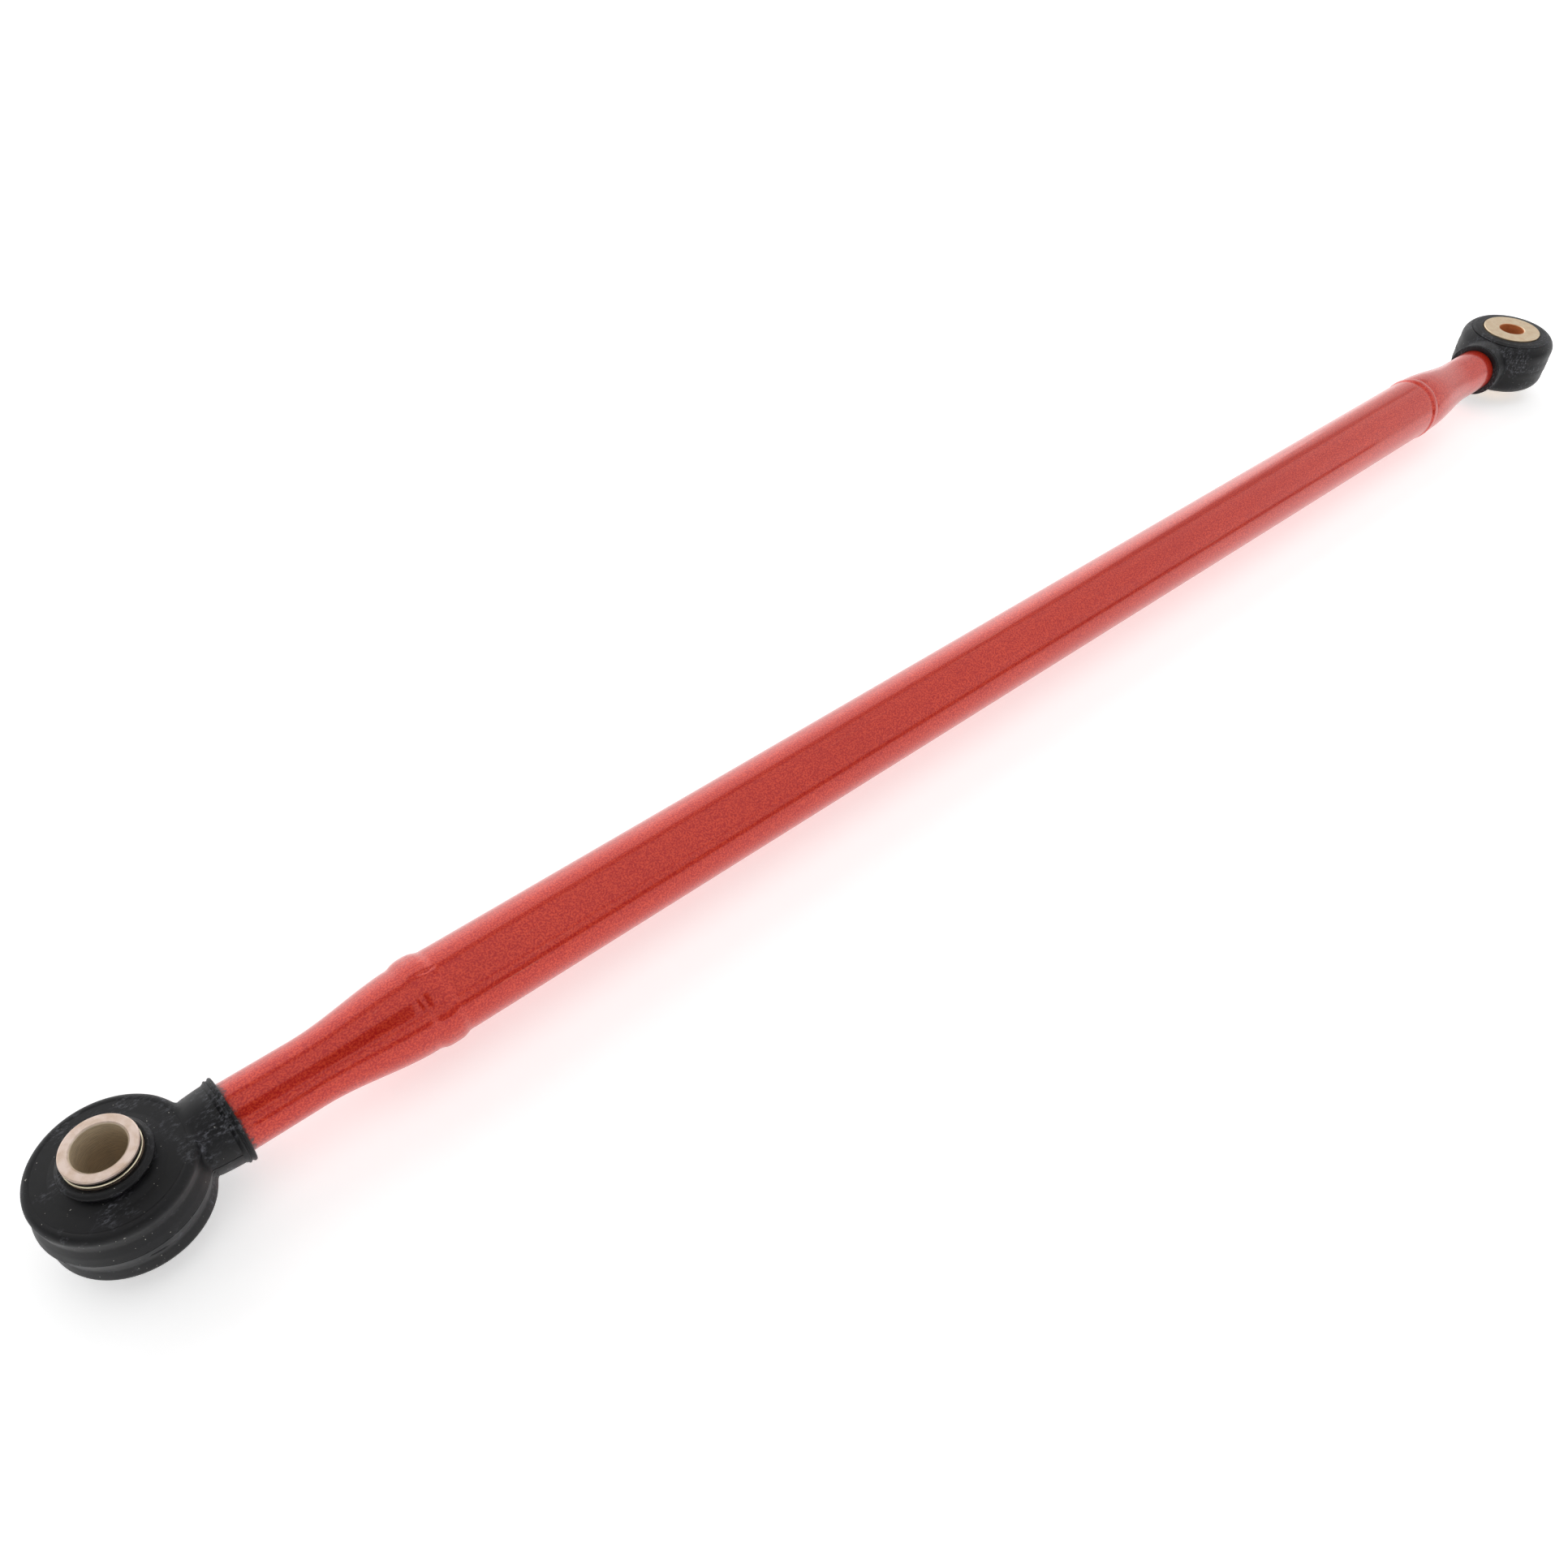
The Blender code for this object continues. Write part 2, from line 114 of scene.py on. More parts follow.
# %% Round stretches of an outline
def arc(centre_radius, centre_height, radius, start_deg, end_deg, pieces=6):
    points = []
    for i in range(pieces + 1):
        angle = math.radians(start_deg + (end_deg - start_deg) * i / pieces)
        points.append((centre_radius + radius * math.cos(angle), centre_height + radius * math.sin(angle)))
    return points


# %% Pull a ring along an outline
MERGE_DISTANCE = 0.002 * MM
ROUND_SEGMENTS = 128
FINE_SEGMENTS = 160
COARSE_SEGMENTS = 96


def turn_outline(name, outline, segments=ROUND_SEGMENTS, closed=True):
    """Outline points are (radius, height) in mm. A closed outline ends where it began."""
    deselect_all()
    radius, height = outline[0]
    bpy.ops.mesh.primitive_circle_add(vertices=segments, radius=radius * MM, location=(0, 0, height * MM))
    piece = bpy.context.object
    piece.name = piece.data.name = name
    bpy.ops.object.transform_apply(location=True, rotation=False, scale=False)
    bpy.ops.object.mode_set(mode="EDIT")
    bpy.ops.mesh.select_all(action="SELECT")
    stations = outline[1:] + outline[:1] if closed else outline[1:]
    for next_radius, next_height in stations:
        rise = (0, 0, (next_height - height) * MM)
        bpy.ops.mesh.extrude_region_move(TRANSFORM_OT_translate={"value": rise})
        grow = next_radius / radius
        bpy.ops.transform.resize(value=(grow, grow, 1), center_override=(0, 0, next_height * MM))
        radius, height = next_radius, next_height
    bpy.ops.mesh.select_all(action="SELECT")
    bpy.ops.mesh.remove_doubles(threshold=MERGE_DISTANCE)
    bpy.ops.mesh.normals_make_consistent(inside=False)
    bpy.ops.object.mode_set(mode="OBJECT")
    return piece


# %% Finish and place a piece
SHARP_ANGLE = math.radians(40)
MACHINED_ANGLE = math.radians(25)
SOFT_ANGLE = math.radians(60)


def apply_modifiers(piece):
    select_only(piece)
    for modifier in list(piece.modifiers):
        bpy.ops.object.modifier_apply(modifier=modifier.name)


def lay_along_arm(piece):
    """Heights become distances along X."""
    select_only(piece)
    piece.rotation_euler = (0, math.pi / 2, 0)
    bpy.ops.object.transform_apply(location=False, rotation=True, scale=False)


def set_in_place(piece, end_x, turned_round):
    select_only(piece)
    piece.location = (end_x, 0, 0)
    piece.rotation_euler = (0, 0, math.pi if turned_round else 0)
    bpy.ops.object.transform_apply(location=True, rotation=True, scale=False)


def turn_under(piece):
    """Half a turn about X, which makes an upper piece a lower one."""
    select_only(piece)
    piece.rotation_euler = (math.pi, 0, 0)
    bpy.ops.object.transform_apply(location=False, rotation=True, scale=False)


def shade(piece, angle=SHARP_ANGLE):
    select_only(piece)
    bpy.ops.object.shade_smooth_by_angle(angle=angle)


def smooth_step(value, start, end):
    share = min(1.0, max(0.0, (value - start) / (end - start)))
    return share * share * (3 - 2 * share)


# %% [markdown]
# ## Painted steel
# The tube, both welds and both forgings are powder coated after welding, so one paint film covers them all
# and no joint shows but the welds' own shape. They are made here as one skin. Stations along the arm give
# its radius, and then the weld zones are cut finer so that the bead's ridge and ripples are real shape.

# %% Paint sizes, in mm from each ball centre
NEAR = SimpleNamespace(
    name="near", end_x=NEAR_X, turned=False, neck=10.7, neck_end=58.0, cone_end=86.3,
    weld=92.8, weld_lean=-1.0, weld_rise=0.8, weld_width=4.1, ripple=0.02, blob=0.55, blob_turn=40.0,
)
FAR = SimpleNamespace(
    name="far", end_x=FAR_X, turned=True, neck=10.3, neck_end=55.5, cone_end=89.0,
    weld=97.0, weld_lean=-1.5, weld_rise=0.5, weld_width=1.7, ripple=0.02, blob=0.2, blob_turn=250.0,
)
TUBE_RADIUS = 14.3
THROAT_RADIUS = 8.0
EYE_OUTER = 19.6
EYE_BORE = 16.3
EYE_HALF_HEIGHT = 8.3
WELD_ZONE = 12.0
ZONE_MARGIN = 1.0
NECK_START = 17.5
NECK_STATIONS = (26.0, 40.0)
CONE_ROUND = 9.0
CONE_STATIONS = 14


# %% Stations of the neck, cone and weld
def cone_radius(end, x):
    """Radius of the forging at x, with a soft curve where the cone leaves the neck and meets the tube."""
    share = smooth_step(x, end.neck_end - CONE_ROUND / 2, end.cone_end + CONE_ROUND / 4)
    return end.neck + (TUBE_RADIUS - end.neck) * share


def neck_stations(end):
    stations = [(THROAT_RADIUS, NECK_START), (THROAT_RADIUS, EYE_OUTER)]
    stations += [(end.neck, x) for x in NECK_STATIONS]
    first, last = end.neck_end - CONE_ROUND, end.weld - WELD_ZONE
    for i in range(CONE_STATIONS + 1):
        x = first + (last - first) * i / CONE_STATIONS
        stations.append((cone_radius(end, x), x))
    return stations


def arm_outline():
    near = neck_stations(NEAR) + [(TUBE_RADIUS, NEAR.weld + WELD_ZONE)]
    far = [(radius, SPAN - x) for radius, x in neck_stations(FAR)]
    far = [(TUBE_RADIUS, SPAN - FAR.weld - WELD_ZONE)] + far[::-1]
    return near + far


# %% Pull the skin and cut the weld zones finer
SKIN_SEGMENTS = 192
SKIN_ANGLE = math.radians(50)
WELD_CUTS = 70

skin = turn_outline("painted_arm", arm_outline(), segments=SKIN_SEGMENTS, closed=False)


def in_weld_zone(x_mm):
    """True between the two stations on either side of a weld."""
    near_side = abs(x_mm - NEAR.weld) < WELD_ZONE + ZONE_MARGIN
    far_side = abs(x_mm - (SPAN - FAR.weld)) < WELD_ZONE + ZONE_MARGIN
    return near_side or far_side


bpy.ops.object.mode_set(mode="EDIT")
bpy.ops.mesh.select_mode(type="EDGE")
bpy.ops.mesh.select_all(action="DESELECT")
bpy.ops.object.mode_set(mode="OBJECT")
for edge in skin.data.edges:
    a, b = (skin.data.vertices[i].co.z / MM for i in edge.vertices)
    edge.select = abs(a - b) > WELD_ZONE and in_weld_zone(a) and in_weld_zone(b)
bpy.ops.object.mode_set(mode="EDIT")
bpy.ops.mesh.subdivide(number_cuts=WELD_CUTS)
bpy.ops.object.mode_set(mode="OBJECT")
print(f"{skin.name}: {len(skin.data.vertices)} points")

# %% [markdown]
# ## Weld beads
# The bead was laid by turning the arm under a torch, so it runs once round with a fine ripple, drifts a
# little to and fro, and has a lump where its end overlaps its start. A Displace modifier can't follow
# those rules, so each point is moved out from the axis by a short formula.


# %% Raise the beads
RIPPLE_LENGTH = 2.4
BLOB_SPREAD_DEG = 16.0
BLOB_WIDTH = 4.5
BLOB_OFFSET = 0.5
BLOB_LIFT = 0.55
BEAD_UNEVENNESS = 0.3
BEAD_WANDERS = 2
RISE_UNEVENNESS = 0.2
TOE_WIDTH = 1.1
TOE_DEPTH = 0.08
LEAN_DEG = 40.0
OVERLAP = SimpleNamespace(x=94.2, turn=92.5, length=5.5, sag=0.7, width=0.28, depth=0.3)


def turn_apart(a_deg, b_deg):
    return (a_deg - b_deg + 180) % 360 - 180


def overlap_mark(end, x, angle_deg):
    """The crescent crease where the near bead's end was laid over its start."""
    if end.name != "near":
        return 0.0
    across = turn_apart(angle_deg, OVERLAP.turn) * math.radians(1) * TUBE_RADIUS
    along = x - OVERLAP.x
    curve = across - OVERLAP.sag * math.cos(math.pi * along / OVERLAP.length)
    crease = math.exp(-((curve / OVERLAP.width) ** 2) - (2 * along / OVERLAP.length) ** 4)
    return OVERLAP.depth * crease


def bead_rise(end, x, angle_deg):
    """How far a weld lifts the surface at x mm from the ball centre and at that angle round the arm."""
    middle = end.weld + end.weld_lean * math.cos(math.radians(angle_deg - LEAN_DEG))
    turn = math.radians(angle_deg)
    wander = noise.noise(Vector((math.cos(turn), math.sin(turn), end.weld)) * BEAD_WANDERS)
    middle += BEAD_UNEVENNESS * wander
    off = x - middle
    crown = math.exp(-((off / end.weld_width) ** 4))
    around = angle_deg / 360 * 2 * math.pi * TUBE_RADIUS
    chevron = around / RIPPLE_LENGTH + (off / end.weld_width) ** 2 / 3
    ripple = end.ripple * math.sin(2 * math.pi * chevron)
    toe = TOE_DEPTH * math.exp(-(((abs(off) - end.weld_width - TOE_WIDTH) / TOE_WIDTH) ** 2))
    lump_turn = turn_apart(angle_deg, end.blob_turn) / BLOB_SPREAD_DEG
    lump = end.blob * math.exp(-(lump_turn**2) - ((off - BLOB_OFFSET) / BLOB_WIDTH) ** 2)
    bead = crown * (end.weld_rise * (1 + RISE_UNEVENNESS * wander) + ripple)
    return bead + lump * BLOB_LIFT - toe - overlap_mark(end, x, angle_deg)


for vertex in skin.data.vertices:
    x = vertex.co.z / MM
    near_side = x < SPAN / 2
    end = NEAR if near_side else FAR
    local_x = x if near_side else SPAN - x
    if abs(local_x - end.weld) > WELD_ZONE - ZONE_MARGIN / 2:
        continue
    # Laid along the arm, the skin's -X becomes +Z.
    angle = math.degrees(math.atan2(-vertex.co.x, vertex.co.y))
    radius = cone_radius(end, local_x) + bead_rise(end, local_x, angle)
    reach = math.hypot(vertex.co.x, vertex.co.y) / MM
    vertex.co.x *= radius / reach
    vertex.co.y *= radius / reach

# %% Cap the ends inside the eyes, and lay the skin along the arm
bpy.ops.object.mode_set(mode="EDIT")
bpy.ops.mesh.select_mode(type="VERT")
bpy.ops.mesh.select_all(action="DESELECT")
bpy.ops.mesh.select_non_manifold()
bpy.ops.mesh.edge_face_add()
bpy.ops.mesh.select_all(action="SELECT")
bpy.ops.mesh.normals_make_consistent(inside=False)
bpy.ops.object.mode_set(mode="OBJECT")
lay_along_arm(skin)
set_in_place(skin, NEAR_X, False)
print("weld beads raised")


# %% [markdown]
# ## Eyes of the forgings
# Each forging ends in a bored eye that holds the bearing race. It is hidden inside the boot, but it is
# part of the same forging, so it is joined to the skin with a Boolean.

# %% Join the eyes
EYE_CHAMFER = 0.8
SEAT_RADIUS = 13.4
GROOVE_RADIUS = 17.2
SEAT_TOP = -6.3
GROOVE_BOTTOM, GROOVE_TOP = 6.0, 7.6

EYE_OUTLINE = [
    (EYE_OUTER - EYE_CHAMFER, EYE_HALF_HEIGHT), (EYE_OUTER, EYE_HALF_HEIGHT - EYE_CHAMFER),
    (EYE_OUTER, EYE_CHAMFER - EYE_HALF_HEIGHT), (EYE_OUTER - EYE_CHAMFER, -EYE_HALF_HEIGHT),
    (EYE_BORE, -EYE_HALF_HEIGHT), (EYE_BORE, SEAT_TOP - 1.3), (SEAT_RADIUS, SEAT_TOP - 1.0),
    (SEAT_RADIUS, SEAT_TOP), (EYE_BORE, SEAT_TOP), (EYE_BORE, GROOVE_BOTTOM), (GROOVE_RADIUS, GROOVE_BOTTOM),
    (GROOVE_RADIUS, GROOVE_TOP), (EYE_BORE, GROOVE_TOP), (EYE_BORE, EYE_HALF_HEIGHT),
]


def join_solid(piece, other, operation="UNION"):
    change = piece.modifiers.new(operation.title(), "BOOLEAN")
    change.operation = operation
    change.solver = "EXACT"
    change.object = other
    apply_modifiers(piece)
    bpy.data.objects.remove(other, do_unlink=True)


for end in (NEAR, FAR):
    eye = turn_outline(f"{end.name}_eye", EYE_OUTLINE, segments=COARSE_SEGMENTS)
    set_in_place(eye, end.end_x, end.turned)
    join_solid(skin, eye)
shade(skin, SKIN_ANGLE)
print(f"{skin.name}: {len(skin.data.polygons)} faces with its eyes")

# %% [markdown]
# ## Rubber boots
# Each boot is a moulded drum with a sleeve that grips the forging's neck and ends in a double bead. The
# drum and the sleeve are turned on two axes at right angles. They are joined with a Boolean, remeshed into
# even small faces, and smoothed where they meet, so the corner is rounded like moulded rubber. The double
# bead is finer than those faces, so it is turned as a piece of its own and set over the sleeve's mouth.

# %% Boot sizes in mm
BOOTS = {
    "near": SimpleNamespace(
        top=11.32, shoulder=22.0, round=2.2, waist=21.45, waist_height=5.8, parting=22.95,
        opening=18.5, rim=10.9, crest=11.2, round_from=80,
        sleeve=[(9.6, 18.0), (11.8, 21.0), (12.1, 24.0), (12.35, 27.0), (12.45, 29.4)],
        bead=13.3, fillet_passes=40, fillet_reach=4.6, crease=0.55, step=0.22,
    ),
    "far": SimpleNamespace(
        top=13.2, shoulder=22.85, round=6.4, waist=22.8, waist_height=4.0, parting=22.9,
        opening=19.3, rim=12.2, crest=0.0, round_from=60,
        sleeve=[(9.6, 18.0), (12.2, 20.5), (12.4, 24.0), (12.3, 27.0), (12.2, 29.4)],
        bead=12.9, fillet_passes=45, fillet_reach=5.0, crease=0.08, step=0.0,
    ),
}
SLEEVE_END = 31.2
SLEEVE_CLEARANCE = 0.15
ROOM_RADIUS, ROOM_HEIGHT = 19.9, 8.6
CREST_SETBACK = 0.8
WAIST_SWELL = 0.15


# %% Outlines of the drum and the sleeve
def drum_outline(boot):
    crown = boot.top - boot.round
    upper = [
        (ROOM_RADIUS, 0.0), (ROOM_RADIUS, ROOM_HEIGHT),
        (boot.opening, ROOM_HEIGHT), (boot.opening, boot.rim),
    ]
    if boot.crest:
        upper += [(boot.opening + CREST_SETBACK, boot.crest)]
    upper += arc(boot.shoulder - boot.round, crown, boot.round, boot.round_from, 0, 8)
    if crown > boot.waist_height + 1:
        upper += [(boot.waist, boot.waist_height)]
    swell = (boot.waist + boot.parting) / 2 + WAIST_SWELL
    upper += [(swell, boot.waist_height / 2), (boot.parting, 0.0)]
    lower = [(radius, -height) for radius, height in upper[::-1] if height > 0]
    return upper + lower


def sleeve_outline(end, boot):
    bore = end.neck + SLEEVE_CLEARANCE
    return boot.sleeve + [(bore + 0.3, 29.4), (bore + 0.3, 26.5), (9.0, 22.0), (9.0, 18.0)]


def mouth_outline(end, boot):
    """The double bead at the sleeve's mouth: two ridges with a groove between them."""
    bore = end.neck + SLEEVE_CLEARANCE
    ridge_a = arc(boot.bead - 0.62, SLEEVE_END - 1.95, 0.45, -80, 75, 7)
    ridge_b = arc(boot.bead - 0.55, SLEEVE_END - 0.55, 0.55, -75, 90, 8)
    start = [(bore, SLEEVE_END - 3.4), (boot.sleeve[-1][0] + 0.02, SLEEVE_END - 3.0)]
    return start + ridge_a + ridge_b + [(bore, SLEEVE_END)]


# %% Cut a line round a boot
CUT_THRESHOLD = 0.001 * MM


def bisect_at(piece, heights_mm):
    """Add edge loops at exact heights, so a fine line can be sunk between them."""
    select_only(piece)
    bpy.ops.object.mode_set(mode="EDIT")
    for height in heights_mm:
        bpy.ops.mesh.select_all(action="SELECT")
        bpy.ops.mesh.bisect(plane_co=(0, 0, height * MM), plane_no=(0, 0, 1), threshold=CUT_THRESHOLD)
    bpy.ops.object.mode_set(mode="OBJECT")


# %% Make a boot
VOXEL = 0.36 * MM
SMOOTH_FACTOR = 0.5
EASE_PASSES = 3
PARTING_HALF_WIDTH = 0.4
PARTING_CUTS = [PARTING_HALF_WIDTH * share for share in (-1, -0.5, 0, 0.5, 1)]
STEP_FADE = (4.0, 7.0)
DRUM_MARGIN, NECK_MARGIN = 0.9, 0.7
NICK = SimpleNamespace(
    angle=-91.0, height=-3.4, half_length=2.1, half_height=0.45, depth=0.55, slope=0.12, from_axis=22.3
)


def fillet_weight(boot, point):
    """1 where the sleeve meets the drum, fading to 0 along both."""
    x, y, z = (c / MM for c in point)
    drum_gap = abs(math.hypot(x, y) - boot.shoulder)
    sleeve_gap = abs(math.hypot(y, z) - boot.sleeve[2][0])
    if x < 0:
        return 0.0
    return max(0.0, 1 - max(drum_gap, sleeve_gap) / boot.fillet_reach)


def nick_depth(angle_deg, height):
    along = turn_apart(angle_deg, NICK.angle) * math.radians(1) * NICK.from_axis / NICK.half_length
    across = (height - NICK.height + NICK.slope * along * NICK.half_length) / NICK.half_height
    return NICK.depth * math.exp(-(along**4) - across**4)


def sink_details(end, boot, piece):
    """Sink the mould's parting line and the nick below the surface, along each point's own normal."""
    normals = [vertex.normal.copy() for vertex in piece.data.vertices]
    for vertex, normal in zip(piece.data.vertices, normals):
        x, y, z = (c / MM for c in vertex.co)
        past_room = math.hypot(x, y) > ROOM_RADIUS + DRUM_MARGIN
        past_neck = math.hypot(y, z) > end.neck + NECK_MARGIN
        if not (past_room and past_neck):
            continue
        depth = boot.crease * max(0.0, 1 - abs(z) / PARTING_HALF_WIDTH)
        if z < 0:
            depth += boot.step * (1 - smooth_step(-z, *STEP_FADE))
        if end.name == "near":
            depth += nick_depth(math.degrees(math.atan2(y, x)), z)
        if depth > 0:
            vertex.co -= normal * depth * MM


def make_boot(end):
    boot = BOOTS[end.name]
    piece = turn_outline(f"{end.name}_boot_shell", drum_outline(boot), segments=FINE_SEGMENTS)
    sleeve = turn_outline("sleeve", sleeve_outline(end, boot))
    lay_along_arm(sleeve)
    join_solid(piece, sleeve)
    remesh = piece.modifiers.new("Even faces", "REMESH")
    remesh.mode = "VOXEL"
    remesh.voxel_size = VOXEL
    apply_modifiers(piece)
    group = piece.vertex_groups.new(name="fillet")
    for vertex in piece.data.vertices:
        weight = fillet_weight(boot, vertex.co)
        if weight > 0:
            group.add([vertex.index], weight, "REPLACE")
    soften = piece.modifiers.new("Round the corner", "SMOOTH")
    soften.vertex_group = "fillet"
    soften.factor = SMOOTH_FACTOR
    soften.iterations = boot.fillet_passes
    ease = piece.modifiers.new("Ease the voxels", "SMOOTH")
    ease.factor = SMOOTH_FACTOR
    ease.iterations = EASE_PASSES
    apply_modifiers(piece)
    piece.vertex_groups.clear()
    bisect_at(piece, PARTING_CUTS)
    sink_details(end, boot, piece)
    set_in_place(piece, end.end_x, end.turned)
    shade(piece, SOFT_ANGLE)
    print(f"{piece.name}: {len(piece.data.polygons)} faces")
    return piece


def make_mouth(end):
    outline = mouth_outline(end, BOOTS[end.name])
    piece = turn_outline(f"{end.name}_boot_mouth", outline, segments=FINE_SEGMENTS)
    lay_along_arm(piece)
    set_in_place(piece, end.end_x, end.turned)
    shade(piece, SOFT_ANGLE)
    return piece


boots = {end.name: make_boot(end) for end in (NEAR, FAR)}
mouths = [make_mouth(end) for end in (NEAR, FAR)]

# %% [markdown]
# ## Membranes
# The thin skin from the boot's crown to its lip stretches as the joint tilts. A tilt is two turns, one
# about the arm and one across it, so the skin is made as two rings, an outer one and an inner one. Each
# is a single sheet that climbs steadily towards the lip.

# %% Membrane sizes in mm: (radius, height) from the crown inwards
MEMBRANES = {
    "near": ((19.3, 11.23), (15.0, 11.5), (11.45, 12.1)),
    "far": ((19.6, 12.42), (17.8, 13.02), (16.1, 13.15)),
}
MEMBRANE_RINGS = 10


def make_membrane(name, outer, inner, side):
    (outer_radius, outer_height), (inner_radius, inner_height) = outer, inner
    outline = []
    for i in range(MEMBRANE_RINGS + 1):
        share = i / MEMBRANE_RINGS
        radius = outer_radius + (inner_radius - outer_radius) * share
        outline.append((radius, outer_height + (inner_height - outer_height) * share))
    piece = turn_outline(name, outline, closed=False)
    if side == "lower":
        turn_under(piece)
    return piece


def face_away(piece, up):
    """Turn an open sheet's faces to point up or down."""
    if (piece.data.polygons[0].normal.z > 0) == up:
        return
    select_only(piece)
    bpy.ops.object.mode_set(mode="EDIT")
    bpy.ops.mesh.select_all(action="SELECT")
    bpy.ops.mesh.flip_normals()
    bpy.ops.object.mode_set(mode="OBJECT")


# %% Make the membranes
membranes = []
for end in (NEAR, FAR):
    outer, middle, inner = MEMBRANES[end.name]
    for side, sign in (("upper", 1), ("lower", -1)):
        zones = (
            ("outer", outer, middle, "arm", f"{end.name}_liner_body"),
            ("inner", middle, inner, f"{end.name}_liner_body", f"{end.name}_lip_body"),
        )
        for zone, start, stop, body_a, body_b in zones:
            sheet = make_membrane(f"{end.name}_{side}_{zone}_membrane", start, stop, side)
            face_away(sheet, side == "upper")
            set_in_place(sheet, end.end_x, end.turned)
            shade(sheet)
            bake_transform(sheet)
            if zone == "outer":
                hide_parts(f"{end.name}_{side}_membrane")
            membranes.append(sheet)
print(f"{len(membranes)} membrane sheets")

# %% [markdown]
# ## Lips
# The near lip is a thick beaded collar that hugs the sleeve under its groove, and a split wire ring holds
# it there. The far lip is only a thin turned-in edge round the spacer's flange. Both tilt with the joint.

# %% Lip outlines in mm
SLEEVE_RADIUS = 10.05
FLANGE_RADIUS = 14.05

NEAR_LIP = [(10.2, 11.2), (11.45, 11.2), (11.45, 12.1)]
NEAR_LIP += arc(12.0, 12.9, 0.55, 200, 130, 3)[::-1][:1]
NEAR_LIP += [(11.6, 13.1)] + arc(11.55, 14.3, 0.75, -60, 75, 7)
NEAR_LIP += [(11.3, 15.4)] + arc(10.85, 15.6, 0.4, 20, 110, 4) + [(10.2, 15.9)]

FAR_LIP = [(14.2, 12.1), (16.1, 12.1), (16.1, 13.15)]
FAR_LIP += [(15.2, 13.32)] + arc(14.75, 13.0, 0.32, 80, 170, 4) + [(14.2, 12.9)]


def make_collar(name, outline, side, end):
    piece = turn_outline(name, outline)
    if side == "lower":
        turn_under(piece)
    set_in_place(piece, end.end_x, end.turned)
    shade(piece)
    return piece


# %% Make the lips
lips = []
for end, outline in ((NEAR, NEAR_LIP), (FAR, FAR_LIP)):
    for side in ("upper", "lower"):
        lip = make_collar(f"{end.name}_{side}_lip_collar", outline, side, end)
        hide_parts(f"{end.name}_{side}_lip")
        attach(lip, f"{end.name}_lip_body")
        lips.append(lip)
print(f"{len(lips)} lips")

# %% [markdown]
# ## Wire rings
# A wire ring is bright spring wire bent round the groove with a small gap. It is a torus with a wedge of
# faces deleted and the two holes filled.

# %% Make the wire rings
WIRE_RING_RADIUS = 9.8
WIRE_RADIUS = 0.32
WIRE_HEIGHT = 17.0
WIRE_GAP_DEG = 6.0
WIRE_GAP_TURN_DEG = 60.0

wire_rings = []
for side, sign in (("upper", 1), ("lower", -1)):
    deselect_all()
    bpy.ops.mesh.primitive_torus_add(
        major_segments=180, minor_segments=16,
        major_radius=WIRE_RING_RADIUS * MM, minor_radius=WIRE_RADIUS * MM,
        location=(0, 0, sign * WIRE_HEIGHT * MM),
    )
    ring = bpy.context.object
    ring.name = ring.data.name = f"near_{side}_wire_ring"
    bpy.ops.object.transform_apply(location=True, rotation=False, scale=False)
    bpy.ops.object.mode_set(mode="EDIT")
    bpy.ops.mesh.select_mode(type="FACE")
    bpy.ops.mesh.select_all(action="DESELECT")
    bpy.ops.object.mode_set(mode="OBJECT")
    for face in ring.data.polygons:
        turn = math.degrees(math.atan2(face.center.y, face.center.x))
        face.select = abs(turn_apart(turn, WIRE_GAP_TURN_DEG)) < WIRE_GAP_DEG / 2
    bpy.ops.object.mode_set(mode="EDIT")
    bpy.ops.mesh.delete(type="FACE")
    bpy.ops.mesh.select_mode(type="VERT")
    bpy.ops.mesh.select_all(action="DESELECT")
    bpy.ops.mesh.select_non_manifold()
    bpy.ops.mesh.fill_holes(sides=0)
    bpy.ops.object.mode_set(mode="OBJECT")
    set_in_place(ring, NEAR_X, False)
    shade(ring)
    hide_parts(f"near_{side}_lip_ring")
    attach(ring, "near_lip_body")
    wire_rings.append(ring)
print(f"{len(wire_rings)} wire rings")

# %% [markdown]
# ## Near sleeve and far spacers
# These are turned from bar: flat faces, small chamfers, straight bores. They are the brightest parts of
# the arm and the ones that a bolt clamps, so each edge gets a true chamfer and enough sides to look round.

# %% Sleeve and spacer outlines in mm
NEAR_BORE, FAR_BORE = 7.1, 6.05
NEAR_FACE, FAR_FACE = 19.65, 13.95
BALL_RADIUS = 12.7
EDGE = 0.3
BORE_EDGE = 0.5
WIRE_GROOVE_TOP, WIRE_GROOVE_BOTTOM = 18.7, 16.1
WIRE_GROOVE_FLOOR = SLEEVE_RADIUS - 0.95
FLANGE_THICKNESS = 3.05
HUB_RADIUS, HUB_END = 9.6, 8.3
STEM_WALL = 1.95
SPLIT_GAP = 0.15


